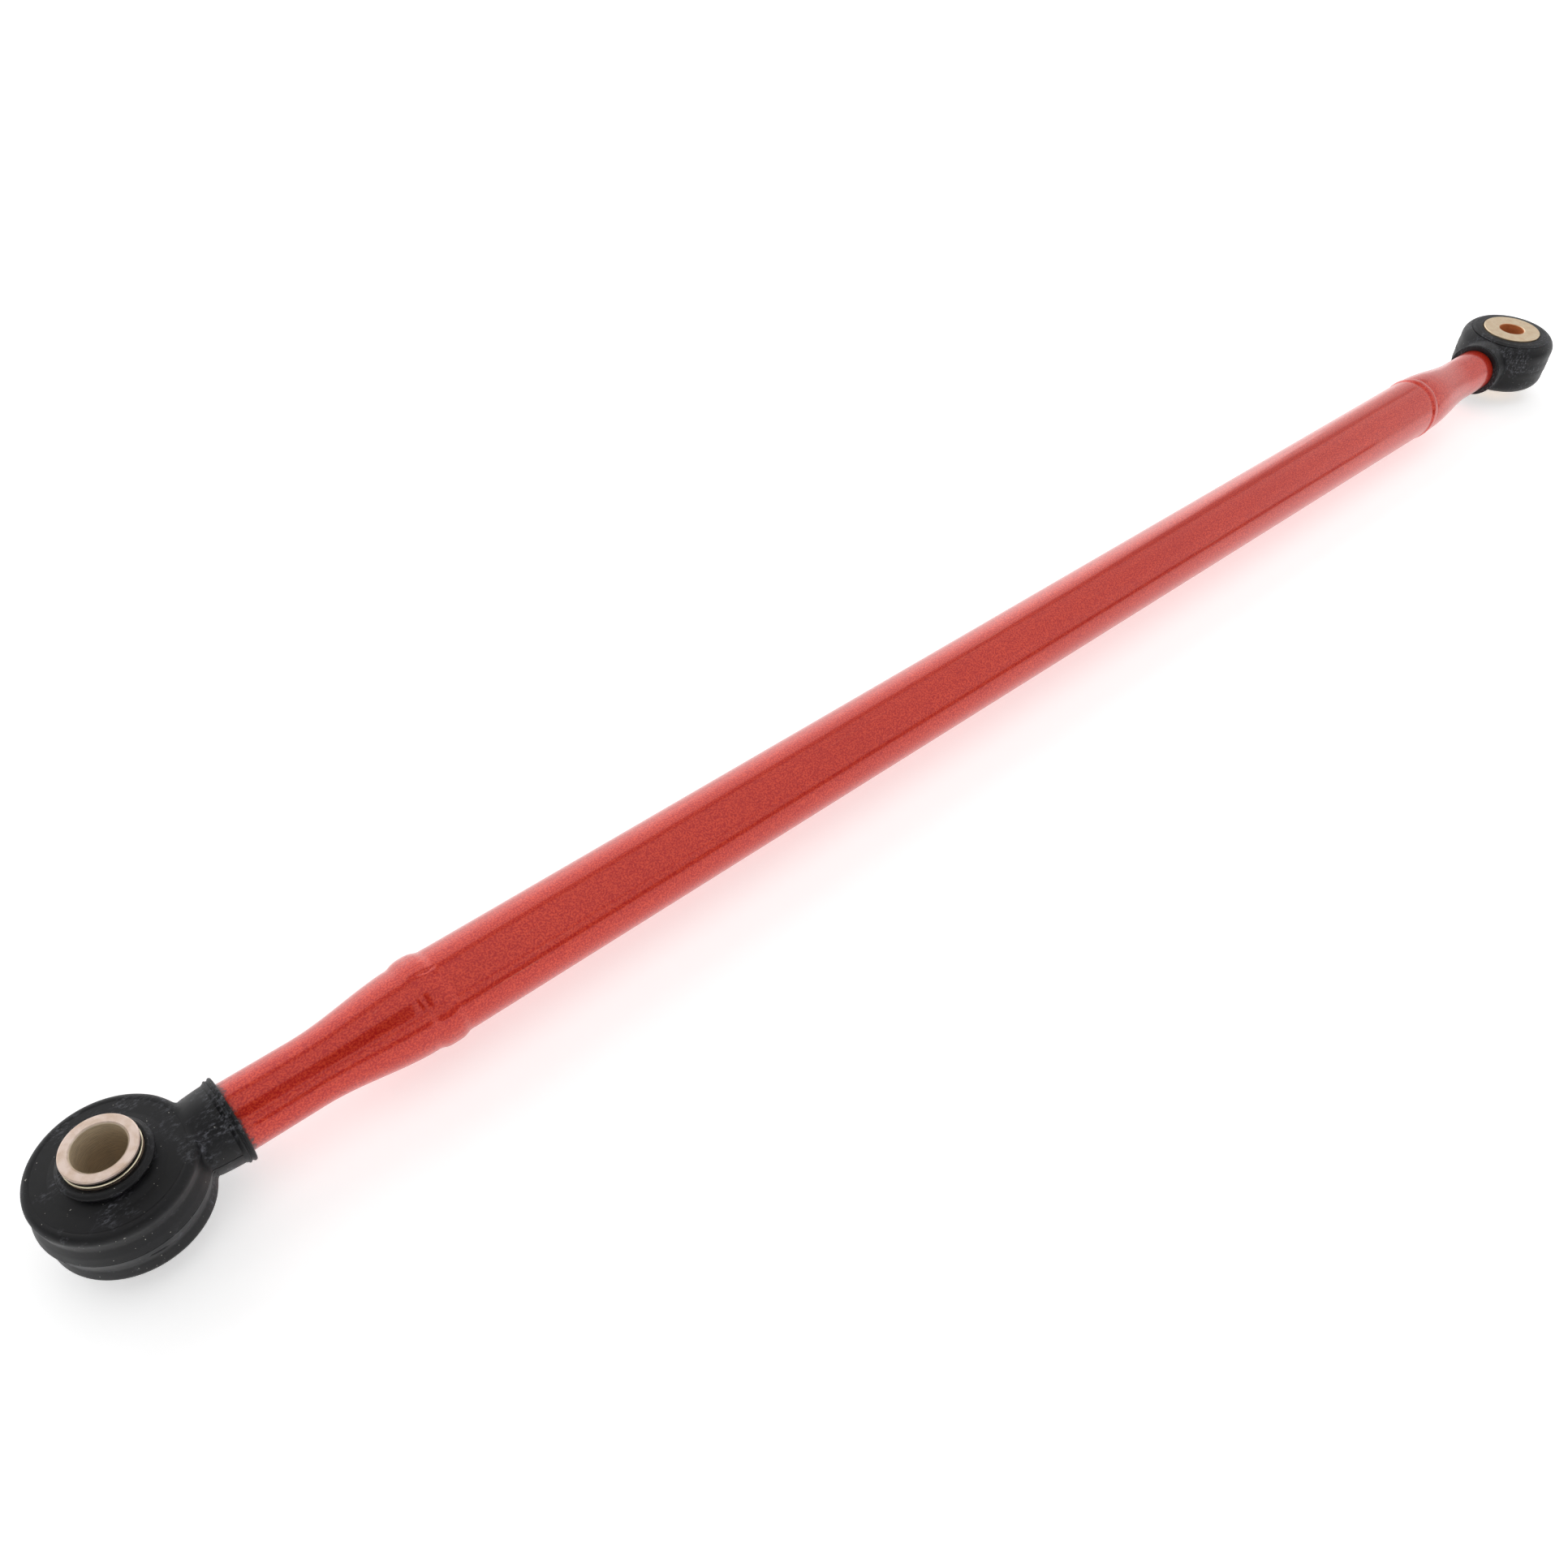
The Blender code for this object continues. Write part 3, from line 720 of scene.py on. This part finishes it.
def sleeve_profile():
    upper = [
        (NEAR_BORE, NEAR_FACE - BORE_EDGE), (NEAR_BORE + BORE_EDGE, NEAR_FACE),
        (SLEEVE_RADIUS - EDGE, NEAR_FACE), (SLEEVE_RADIUS - EDGE / 3, NEAR_FACE - EDGE / 3),
        (SLEEVE_RADIUS, NEAR_FACE - EDGE), (SLEEVE_RADIUS, WIRE_GROOVE_TOP),
        (WIRE_GROOVE_FLOOR, WIRE_GROOVE_TOP), (WIRE_GROOVE_FLOOR, WIRE_GROOVE_BOTTOM),
        (SLEEVE_RADIUS, WIRE_GROOVE_BOTTOM),
    ]
    ball_end = math.sqrt(BALL_RADIUS**2 - SLEEVE_RADIUS**2)
    limit = math.degrees(math.asin(ball_end / BALL_RADIUS))
    return upper + arc(0, 0, BALL_RADIUS, limit, -limit, 20) + [(r, -z) for r, z in upper[::-1]]


def spacer_profile():
    stem = FAR_BORE + STEM_WALL
    under_flange = FAR_FACE - FLANGE_THICKNESS
    return [
        (FAR_BORE, FAR_FACE - BORE_EDGE), (FAR_BORE + BORE_EDGE, FAR_FACE),
        (FLANGE_RADIUS - EDGE, FAR_FACE), (FLANGE_RADIUS - EDGE / 3, FAR_FACE - EDGE / 3),
        (FLANGE_RADIUS, FAR_FACE - EDGE), (FLANGE_RADIUS, under_flange), (HUB_RADIUS, under_flange),
        (HUB_RADIUS, HUB_END), (stem, HUB_END), (stem, SPLIT_GAP), (FAR_BORE, SPLIT_GAP),
    ]


# %% Turn them
sleeve = turn_outline("near_turned_sleeve", sleeve_profile(), segments=FINE_SEGMENTS)
set_in_place(sleeve, NEAR_X, False)
shade(sleeve, MACHINED_ANGLE)
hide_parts("near_ball_sleeve")
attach(sleeve, "near_ball_body")

spacers = []
for side in ("upper", "lower"):
    spacer = make_collar(f"far_{side}_turned_spacer", spacer_profile(), side, FAR)
    shade(spacer, MACHINED_ANGLE)
    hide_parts(f"far_{side}_spacer")
    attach(spacer, "far_ball_body")
    spacers.append(spacer)
print("sleeve and spacers turned")

# %% Fix the skin and boots to the arm
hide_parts("main_tube", "near_forged_end", "near_weld_bead", "far_forged_end", "far_weld_bead")
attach(skin, "arm")
for end_name, boot_piece in boots.items():
    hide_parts(f"{end_name}_boot")
    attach(boot_piece, "arm")
for mouth in mouths:
    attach(mouth, "arm")

# %% [markdown]
# ## Materials
# Every finish is a small tree of nodes on Object coordinates, so one setting in millimetres has the same
# size on each piece. One helper adds a node, sets it up and wires it, and one turns a colour from its
# usual hex form to the linear values that the shader wants.


# %% Node helpers
def linear(hex_colour):
    values = [int(hex_colour[i : i + 2], 16) / 255 for i in (1, 3, 5)]
    return tuple(v / 12.92 if v <= 0.04045 else ((v + 0.055) / 1.055) ** 2.4 for v in values) + (1.0,)


def add_node(tree, kind, settings=None, inputs=None, **links):
    """Settings are the node's properties, inputs its fixed values, and links the sockets that feed it."""
    node = tree.nodes.new(kind)
    for key, value in (settings or {}).items():
        setattr(node, key, value)
    for key, value in (inputs or {}).items():
        node.inputs[key].default_value = value
    for key, socket in links.items():
        tree.links.new(socket, node.inputs[key.replace("_", " ")])
    return node


def new_material(name, base, roughness, metallic=0.0, **constants):
    made = bpy.data.materials.new(name)
    made.use_nodes = True
    shader = made.node_tree.nodes["Principled BSDF"]
    shader.inputs["Base Color"].default_value = linear(base)
    shader.inputs["Roughness"].default_value = roughness
    shader.inputs["Metallic"].default_value = metallic
    for key, value in constants.items():
        shader.inputs[key.replace("_", " ")].default_value = value
    place = made.node_tree.nodes.new("ShaderNodeTexCoord").outputs["Object"]
    return made, made.node_tree, shader, place


def speckle(tree, place, size_mm, detail=2.0, stretch=(1, 1, 1), rough=0.5):
    """Noise whose patches are about size_mm across, stretched along an axis where a scale is below 1."""
    spread = add_node(tree, "ShaderNodeMapping", inputs={"Scale": stretch}, Vector=place)
    scale = 1 / (size_mm * MM)
    settings = {"Scale": scale, "Detail": detail, "Roughness": rough}
    return add_node(tree, "ShaderNodeTexNoise", inputs=settings, Vector=spread.outputs[0]).outputs[0]


def ramp(tree, value, low, high):
    """0 below low and 1 above high."""
    ends = {"From Min": low, "From Max": high}
    return add_node(tree, "ShaderNodeMapRange", inputs=ends, Value=value).outputs[0]


def combine(tree, operation, first, second):
    node = add_node(tree, "ShaderNodeMath", {"operation": operation})
    for socket, value in zip(node.inputs, (first, second)):
        if isinstance(value, (int, float)):
            socket.default_value = value
        else:
            tree.links.new(value, socket)
    return node.outputs[0]


def blend_colour(tree, share, first, second):
    """Mix two colours. Each is a hex string or a socket."""
    node = add_node(tree, "ShaderNodeMix", {"data_type": "RGBA"})
    tree.links.new(share, node.inputs[0])
    for socket, value in ((node.inputs[6], first), (node.inputs[7], second)):
        if isinstance(value, str):
            socket.default_value = linear(value)
        else:
            tree.links.new(value, socket)
    return node.outputs[2]


def mm_from_near_joint(tree, place):
    """Distance along the arm from the near ball centre."""
    along = add_node(tree, "ShaderNodeSeparateXYZ", Vector=place).outputs[0]
    return combine(tree, "DIVIDE", combine(tree, "SUBTRACT", along, NEAR_X), MM)


def bump(tree, shader, *layers):
    """Stack bump layers of (height socket, depth in mm) under the shader's normal."""
    normal = None
    for height, depth_mm in layers:
        settings = {"Distance": depth_mm * MM, "Strength": 1.0}
        node = add_node(tree, "ShaderNodeBump", inputs=settings, Height=height)
        if normal:
            tree.links.new(normal, node.inputs["Normal"])
        normal = node.outputs[0]
    tree.links.new(normal, shader.inputs["Normal"])


# %% [markdown]
# ### Red powder coat
# Powder coat is a baked polyester film: a coloured layer with a clear gloss on top. It flows into a fine
# orange peel, about a millimetre from crest to crest, and this one has a fine pearl fleck. The real fleck
# is finer than the render can show, so it is drawn about half a millimetre across. A coat layer on the
# shader gives the sharp reflections over the softer colour. The tube was drawn through a die, so faint
# lines run along it under the paint, and rubber has left grey smudges next to the near boot. All sizes are
# in millimetres.

# %% Red powder coat
PAINT_METALLIC, PAINT_COAT = 0.3, 0.55
ORANGE_PEEL, FLECK, CLOUD, DRAWN_LINE, SMUDGE = 1.2, 0.55, 45.0, 0.9, 1.6
SMUDGE_REACH = 5.0

powder, tree, shader, place = new_material(
    "red_powder_coat_finish", "#c81a08", 0.3, metallic=PAINT_METALLIC,
    Coat_Weight=PAINT_COAT, Coat_Roughness=0.04, Coat_IOR=1.45,
)
fleck = ramp(tree, speckle(tree, place, FLECK), 0.40, 0.62)
cloud = ramp(tree, speckle(tree, place, CLOUD, detail=3.0), 0.3, 0.7)
paint = blend_colour(tree, fleck, "#b80b02", "#e04426")
paint = blend_colour(tree, combine(tree, "MULTIPLY", cloud, 0.25), paint, "#b00c02")
scratch = ramp(tree, speckle(tree, place, DRAWN_LINE, stretch=(0.012, 1, 1)), 0.70, 0.76)
paint = blend_colour(tree, combine(tree, "MULTIPLY", scratch, 0.25), paint, "#d9806c")
past_boot = ramp(tree, mm_from_near_joint(tree, place), SLEEVE_END, SLEEVE_END + SMUDGE_REACH)
beside_boot = combine(tree, "SUBTRACT", 1.0, past_boot)
grain = speckle(tree, place, SMUDGE, detail=6.0, stretch=(0.6, 1, 1), rough=0.7)
smudge = ramp(tree, combine(tree, "MULTIPLY", beside_boot, grain), 0.40, 0.48)
paint = blend_colour(tree, combine(tree, "MULTIPLY", smudge, 0.8), paint, "#574d50")
tree.links.new(paint, shader.inputs["Base Color"])
clean = combine(tree, "SUBTRACT", 1.0, smudge)
tree.links.new(combine(tree, "MULTIPLY", clean, PAINT_METALLIC), shader.inputs["Metallic"])
tree.links.new(combine(tree, "MULTIPLY", clean, PAINT_COAT), shader.inputs["Coat Weight"])
bump(
    tree, shader,
    (speckle(tree, place, ORANGE_PEEL), 0.030),
    (speckle(tree, place, FLECK, detail=1.0), 0.020),
)
skin.data.materials.append(powder)
print("painted the arm")

# %% [markdown]
# ### Moulded rubber
# The boots are moulded natural rubber filled with carbon black, which makes it a slightly blue black. Its
# surface is satin from the mould and goes chalky grey where it has been rubbed, with stray specks of dust.

# %% Moulded rubber
BLOOM, RUBBED_PATCH, STREAK, DUST = 9.0, 11.0, 0.8, 0.5
MOULD_WAVE, MOULD_GRAIN = 3.2, 0.5
HANDLED_FROM, HANDLED_TO = 8.0, 20.0

rubber, tree, shader, place = new_material("moulded_black_rubber", "#101013", 0.45, Specular_IOR_Level=0.3)
bloom = ramp(tree, speckle(tree, place, BLOOM, detail=4.0), 0.35, 0.75)
base = blend_colour(tree, bloom, "#08080a", "#121216")
towards_neck = ramp(tree, mm_from_near_joint(tree, place), HANDLED_FROM, HANDLED_TO)
handled = combine(tree, "MULTIPLY", towards_neck, 0.07)
patches = combine(tree, "ADD", speckle(tree, place, RUBBED_PATCH, detail=5.0, rough=0.6), handled)
rubbed = ramp(tree, patches, 0.53, 0.66)
streak_grain = speckle(tree, place, STREAK, detail=6.0, stretch=(0.4, 1, 0.6), rough=0.72)
scuff = combine(tree, "MULTIPLY", rubbed, ramp(tree, streak_grain, 0.50, 0.64))
base = blend_colour(tree, combine(tree, "MULTIPLY", scuff, 0.6), base, "#74757c")
dust = ramp(tree, speckle(tree, place, DUST, detail=0.0), 0.845, 0.87)
base = blend_colour(tree, dust, base, "#a9a69e")
tree.links.new(base, shader.inputs["Base Color"])
satin = combine(tree, "ADD", 0.40, combine(tree, "MULTIPLY", bloom, 0.14))
satin = combine(tree, "ADD", satin, combine(tree, "MULTIPLY", scuff, 0.25))
tree.links.new(satin, shader.inputs["Roughness"])
bump(
    tree, shader,
    (speckle(tree, place, MOULD_WAVE, detail=3.0), 0.04),
    (speckle(tree, place, MOULD_GRAIN, detail=3.0), 0.015),
    (scuff, 0.03),
)
for piece in list(boots.values()) + mouths + membranes + lips:
    piece.data.materials.append(rubber)
print("rubber on", len(boots) + len(mouths) + len(membranes) + len(lips), "pieces")


# %% [markdown]
# ### Turned, plated steel
# The sleeve and spacers are turned from steel bar and thinly plated, which gives them a warm tint. The
# tool leaves rings on the faces and a fine thread of lines down the bore, where the metal is darker and
# less polished, and the lines in the bore are darkened as painted shade. Rings about the bolt's axis come
# from a wave on the distance from that axis. A real tool mark is finer than the render can show, so the
# pitch is drawn at half a millimetre. All sizes are in millimetres.

# %% Turned, plated steel
TOOL_PITCH, TOOL_WOBBLE, BROKEN_LINE = 0.5, 2.5, 0.5
STAIN, PLATED_GRAIN = 3.5, 0.6
BORE_MOUTH = (0.05, 0.35)
PLATED_ROUGHNESS = 0.36


def turned_metal(name, face_hex, stain_hex, bore_hex, end_x, bore_radius, groove_radius=0.0):
    """Plated steel turned about the bolt at end_x. The wire groove inside groove_radius is painted near black
    as shade.
    """
    made, tree, shader, place = new_material(name, face_hex, PLATED_ROUGHNESS, metallic=1.0)
    centred = add_node(tree, "ShaderNodeMapping", inputs={"Location": (-end_x, 0, 0)}, Vector=place)
    axes = add_node(tree, "ShaderNodeSeparateXYZ", Vector=centred.outputs[0]).outputs
    squares = [combine(tree, "MULTIPLY", axes[i], axes[i]) for i in range(2)]
    reach = combine(tree, "SQRT", combine(tree, "ADD", *squares), 0.0)
    reach_mm = combine(tree, "DIVIDE", reach, MM)
    height_mm = combine(tree, "DIVIDE", axes[2], MM)
    wobble = combine(tree, "MULTIPLY", speckle(tree, place, TOOL_WOBBLE, detail=3.0), 0.7)
    lines = combine(tree, "ADD", combine(tree, "ADD", reach_mm, height_mm), wobble)
    grooves = combine(tree, "SINE", combine(tree, "MULTIPLY", lines, 2 * math.pi / TOOL_PITCH), 0.0)
    past_bore = ramp(tree, reach_mm, bore_radius + BORE_MOUTH[0], bore_radius + BORE_MOUTH[1])
    in_bore = combine(tree, "SUBTRACT", 1.0, past_bore)
    stain = ramp(tree, speckle(tree, place, STAIN, detail=6.0, rough=0.65), 0.42, 0.68)
    colour = blend_colour(tree, combine(tree, "MULTIPLY", stain, 0.7), face_hex, stain_hex)
    colour = blend_colour(tree, in_bore, colour, bore_hex)
    broken = ramp(tree, speckle(tree, place, BROKEN_LINE, detail=3.0, stretch=(0.2, 0.2, 1)), 0.35, 0.65)
    lines_shown = combine(tree, "MULTIPLY", ramp(tree, grooves, 0.0, 1.0), broken)
    # Painted shade: the tool lines in the bore are darkened towards #2a241c.
    shadow = combine(tree, "MULTIPLY", combine(tree, "MULTIPLY", in_bore, lines_shown), 0.6)
    colour = blend_colour(tree, shadow, colour, "#2a241c")
    # Painted shade: the wire groove inside groove_radius is coloured near black (#0b0a09) and made not
    # metallic.
    below_face = combine(tree, "LESS_THAN", combine(tree, "ABSOLUTE", height_mm, 0.0), WIRE_GROOVE_TOP)
    inside = combine(tree, "MULTIPLY", combine(tree, "LESS_THAN", reach_mm, groove_radius), below_face)
    grease_and_groove_shade = combine(tree, "MULTIPLY", inside, combine(tree, "SUBTRACT", 1.0, in_bore))
    colour = blend_colour(tree, grease_and_groove_shade, colour, "#0b0a09")
    tree.links.new(colour, shader.inputs["Base Color"])
    rough = combine(tree, "ADD", PLATED_ROUGHNESS, combine(tree, "MULTIPLY", stain, 0.12))
    rough = combine(tree, "ADD", rough, combine(tree, "MULTIPLY", in_bore, 0.25))
    tree.links.new(rough, shader.inputs["Roughness"])
    dull = combine(tree, "MAXIMUM", combine(tree, "MULTIPLY", in_bore, 0.75), grease_and_groove_shade)
    tree.links.new(combine(tree, "SUBTRACT", 1.0, dull), shader.inputs["Metallic"])
    bump(tree, shader, (grooves, 0.004), (speckle(tree, place, PLATED_GRAIN, detail=4.0), 0.008))
    return made


near_metal = turned_metal(
    "plated_turned_steel_near", "#ddcabf", "#c3a890", "#cdbb9f", NEAR_X, NEAR_BORE, SLEEVE_RADIUS - EDGE
)
far_metal = turned_metal("plated_turned_steel_far", "#e6d2b4", "#d9b995", "#cf7f48", FAR_X, FAR_BORE)
wire_metal, tree, shader, place = new_material("bright_spring_wire", "#e6dcc0", 0.22, metallic=1.0)
bump(tree, shader, (speckle(tree, place, 0.3, detail=3.0), 0.01))
sleeve.data.materials.append(near_metal)
for piece in spacers:
    piece.data.materials.append(far_metal)
for piece in wire_rings:
    piece.data.materials.append(wire_metal)
print("metal on the sleeve, spacers and rings")

# %% [markdown]
# ### Hidden bearing parts
# The balls, races, liners and retaining rings stay as the CAD has them. They are sealed inside the boots,
# but a cutaway would show them, so each gets its own finish: ground steel, oiled spring steel and moulded
# acetal.

# %% Hidden bearing parts
ground_steel, tree, shader, place = new_material("ground_bearing_steel", "#c9c9cb", 0.14, metallic=1.0)
grease_and_groove_shade = ramp(tree, speckle(tree, place, 4.0, detail=4.0), 0.45, 0.7)
tree.links.new(combine(tree, "ADD", 0.12, combine(tree, "MULTIPLY", grease_and_groove_shade, 0.2)), shader.inputs["Roughness"])
bump(tree, shader, (speckle(tree, place, 0.4, detail=2.0), 0.004))

spring_steel, tree, shader, place = new_material("oiled_spring_steel", "#6b6661", 0.32, metallic=1.0)
oil = ramp(tree, speckle(tree, place, 3.0, detail=4.0), 0.4, 0.7)
tree.links.new(blend_colour(tree, oil, "#6b6661", "#4d4843"), shader.inputs["Base Color"])
bump(tree, shader, (speckle(tree, place, 0.5, detail=3.0), 0.008))

acetal, tree, shader, place = new_material("moulded_acetal", "#e2ddd2", 0.42)
flow = ramp(tree, speckle(tree, place, 5.0, detail=3.0), 0.3, 0.7)
tree.links.new(blend_colour(tree, flow, "#e2ddd2", "#d5cfc1"), shader.inputs["Base Color"])
bump(tree, shader, (speckle(tree, place, 0.8, detail=2.0), 0.006))

HIDDEN_FINISHES = {
    "near_bearing_race": ground_steel, "far_bearing_race": ground_steel, "far_ball": ground_steel,
    "near_retaining_ring": spring_steel, "far_retaining_ring": spring_steel,
    "near_bearing_liner": acetal, "far_bearing_liner": acetal,
}
for node_name, finish_material in HIDDEN_FINISHES.items():
    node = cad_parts[node_name]
    node.data.materials.clear()
    node.data.materials.append(finish_material)
print("finished", len(HIDDEN_FINISHES), "hidden parts")

# %% [markdown]
# ## Studio
# The arm lies on a white light table, which glows enough to fill most of the shadow under it, inside a
# round sweep. Gloss paint shows whatever is around it, so the panels are placed for the bands they leave
# along the tube. A tall panel stands behind the arm, and a wide one hangs overhead with a narrow gap
# between the two. A dark card behind the camera and a low one beside the arm leave the deep red bands.

# %% Floor
deselect_all()
FLOOR_GAP = 0.05 * MM
FLOOR_RADIUS = 2600
GLOW, GLOW_HEIGHT = 0.42, 0.05
floor_height = CAD_BOX[0].z - FLOOR_GAP
sweep = turn_outline("studio_sweep", [
    (FLOOR_RADIUS, 0.0), (FLOOR_RADIUS + 250, 40.0), (FLOOR_RADIUS + 450, 160.0), (FLOOR_RADIUS + 570, 360.0),
    (FLOOR_RADIUS + 600, 700.0), (FLOOR_RADIUS + 600, 1500.0),
], segments=COARSE_SEGMENTS, closed=False)
bpy.ops.object.mode_set(mode="EDIT")
bpy.ops.mesh.select_all(action="DESELECT")
bpy.ops.object.mode_set(mode="OBJECT")
for vertex in sweep.data.vertices:
    vertex.select = vertex.co.z < MM
bpy.ops.object.mode_set(mode="EDIT")
bpy.ops.mesh.edge_face_add()
bpy.ops.object.mode_set(mode="OBJECT")
sweep.location.z = floor_height
shade(sweep, SOFT_ANGLE)
white, tree, shader, place = new_material("white_light_table", "#f4f4f4", 0.9)
shader.inputs["Emission Color"].default_value = linear("#ffffff")
height = add_node(tree, "ShaderNodeSeparateXYZ", Vector=place).outputs[2]
glow = combine(tree, "SUBTRACT", 1.0, ramp(tree, height, 0.0, GLOW_HEIGHT))
tree.links.new(combine(tree, "MULTIPLY", glow, GLOW), shader.inputs["Emission Strength"])
sweep.data.materials.append(white)
print(f"floor at {floor_height / MM:.2f} mm")


# %% Lights and dark cards
def face_towards(piece, position, aim):
    piece.location = position
    piece.rotation_euler = (Vector(aim) - Vector(position)).to_track_quat("-Z", "Y").to_euler()


def panel(name, position, aim, size, power):
    """A rectangular softbox at a position, facing a point."""
    light = bpy.data.lights.new(name, "AREA")
    light.shape = "RECTANGLE"
    light.size, light.size_y = size
    light.energy = power
    lamp = bpy.data.objects.new(name, light)
    bpy.context.scene.collection.objects.link(lamp)
    face_towards(lamp, position, aim)


black = new_material("black_card", "#050505", 0.9, Specular_IOR_Level=0.0)[0]


def card(name, position, aim, size):
    deselect_all()
    bpy.ops.mesh.primitive_plane_add(size=1.0)
    piece = bpy.context.object
    piece.name = piece.data.name = name
    piece.scale = (size[0], size[1], 1.0)
    bpy.ops.object.transform_apply(location=False, rotation=False, scale=True)
    face_towards(piece, position, aim)
    piece.data.materials.append(black)


panel("overhead_panel", (0.8, -1.1, 1.6), (0.8, -1.1, 0.0), (5.0, 3.4), 32)
panel("back_panel", (0.4, 1.7, 1.25), (0.4, 0.0, 1.25), (5.0, 2.5), 42)
card("camera_card", (NEAR_X + 0.01, -0.36, 0.49), (NEAR_X + 0.05, 0.0, 0.0), (0.26, 0.34))
card("side_card", (0.35, -0.6, 0.04), (0.35, 0.0, 0.0), (1.5, 0.12))

# %% Air
AIR_GLOW = 0.3

world = bpy.data.worlds.new("studio_air")
bpy.context.scene.world = world
world.use_nodes = True
world.node_tree.nodes["Background"].inputs["Color"].default_value = linear("#ffffff")
world.node_tree.nodes["Background"].inputs["Strength"].default_value = AIR_GLOW
print("lights and cards set")

# %% [markdown]
# ## Camera
# The camera stands close over the near joint and looks down along the arm, so the far joint looks much
# smaller.

# %% Camera
CAMERA_FROM_NEAR_JOINT = (10.48, -241.45, 331.15)
CAMERA_ANGLES_DEG = (44.978, -1.652, -41.355)
LENS_MM = 30.374
SENSOR_MM = 36.0

camera_data = bpy.data.cameras.new("camera")
camera_data.lens = LENS_MM
camera_data.sensor_width = SENSOR_MM
camera_data.clip_start = 10 * MM
camera = bpy.data.objects.new("camera", camera_data)
bpy.context.scene.collection.objects.link(camera)
camera.location = Vector(CAMERA_FROM_NEAR_JOINT) * MM + Vector((NEAR_X, 0, 0))
camera.rotation_euler = [math.radians(a) for a in CAMERA_ANGLES_DEG]
bpy.context.scene.camera = camera
print(f"camera set with a {LENS_MM:.1f} mm lens")
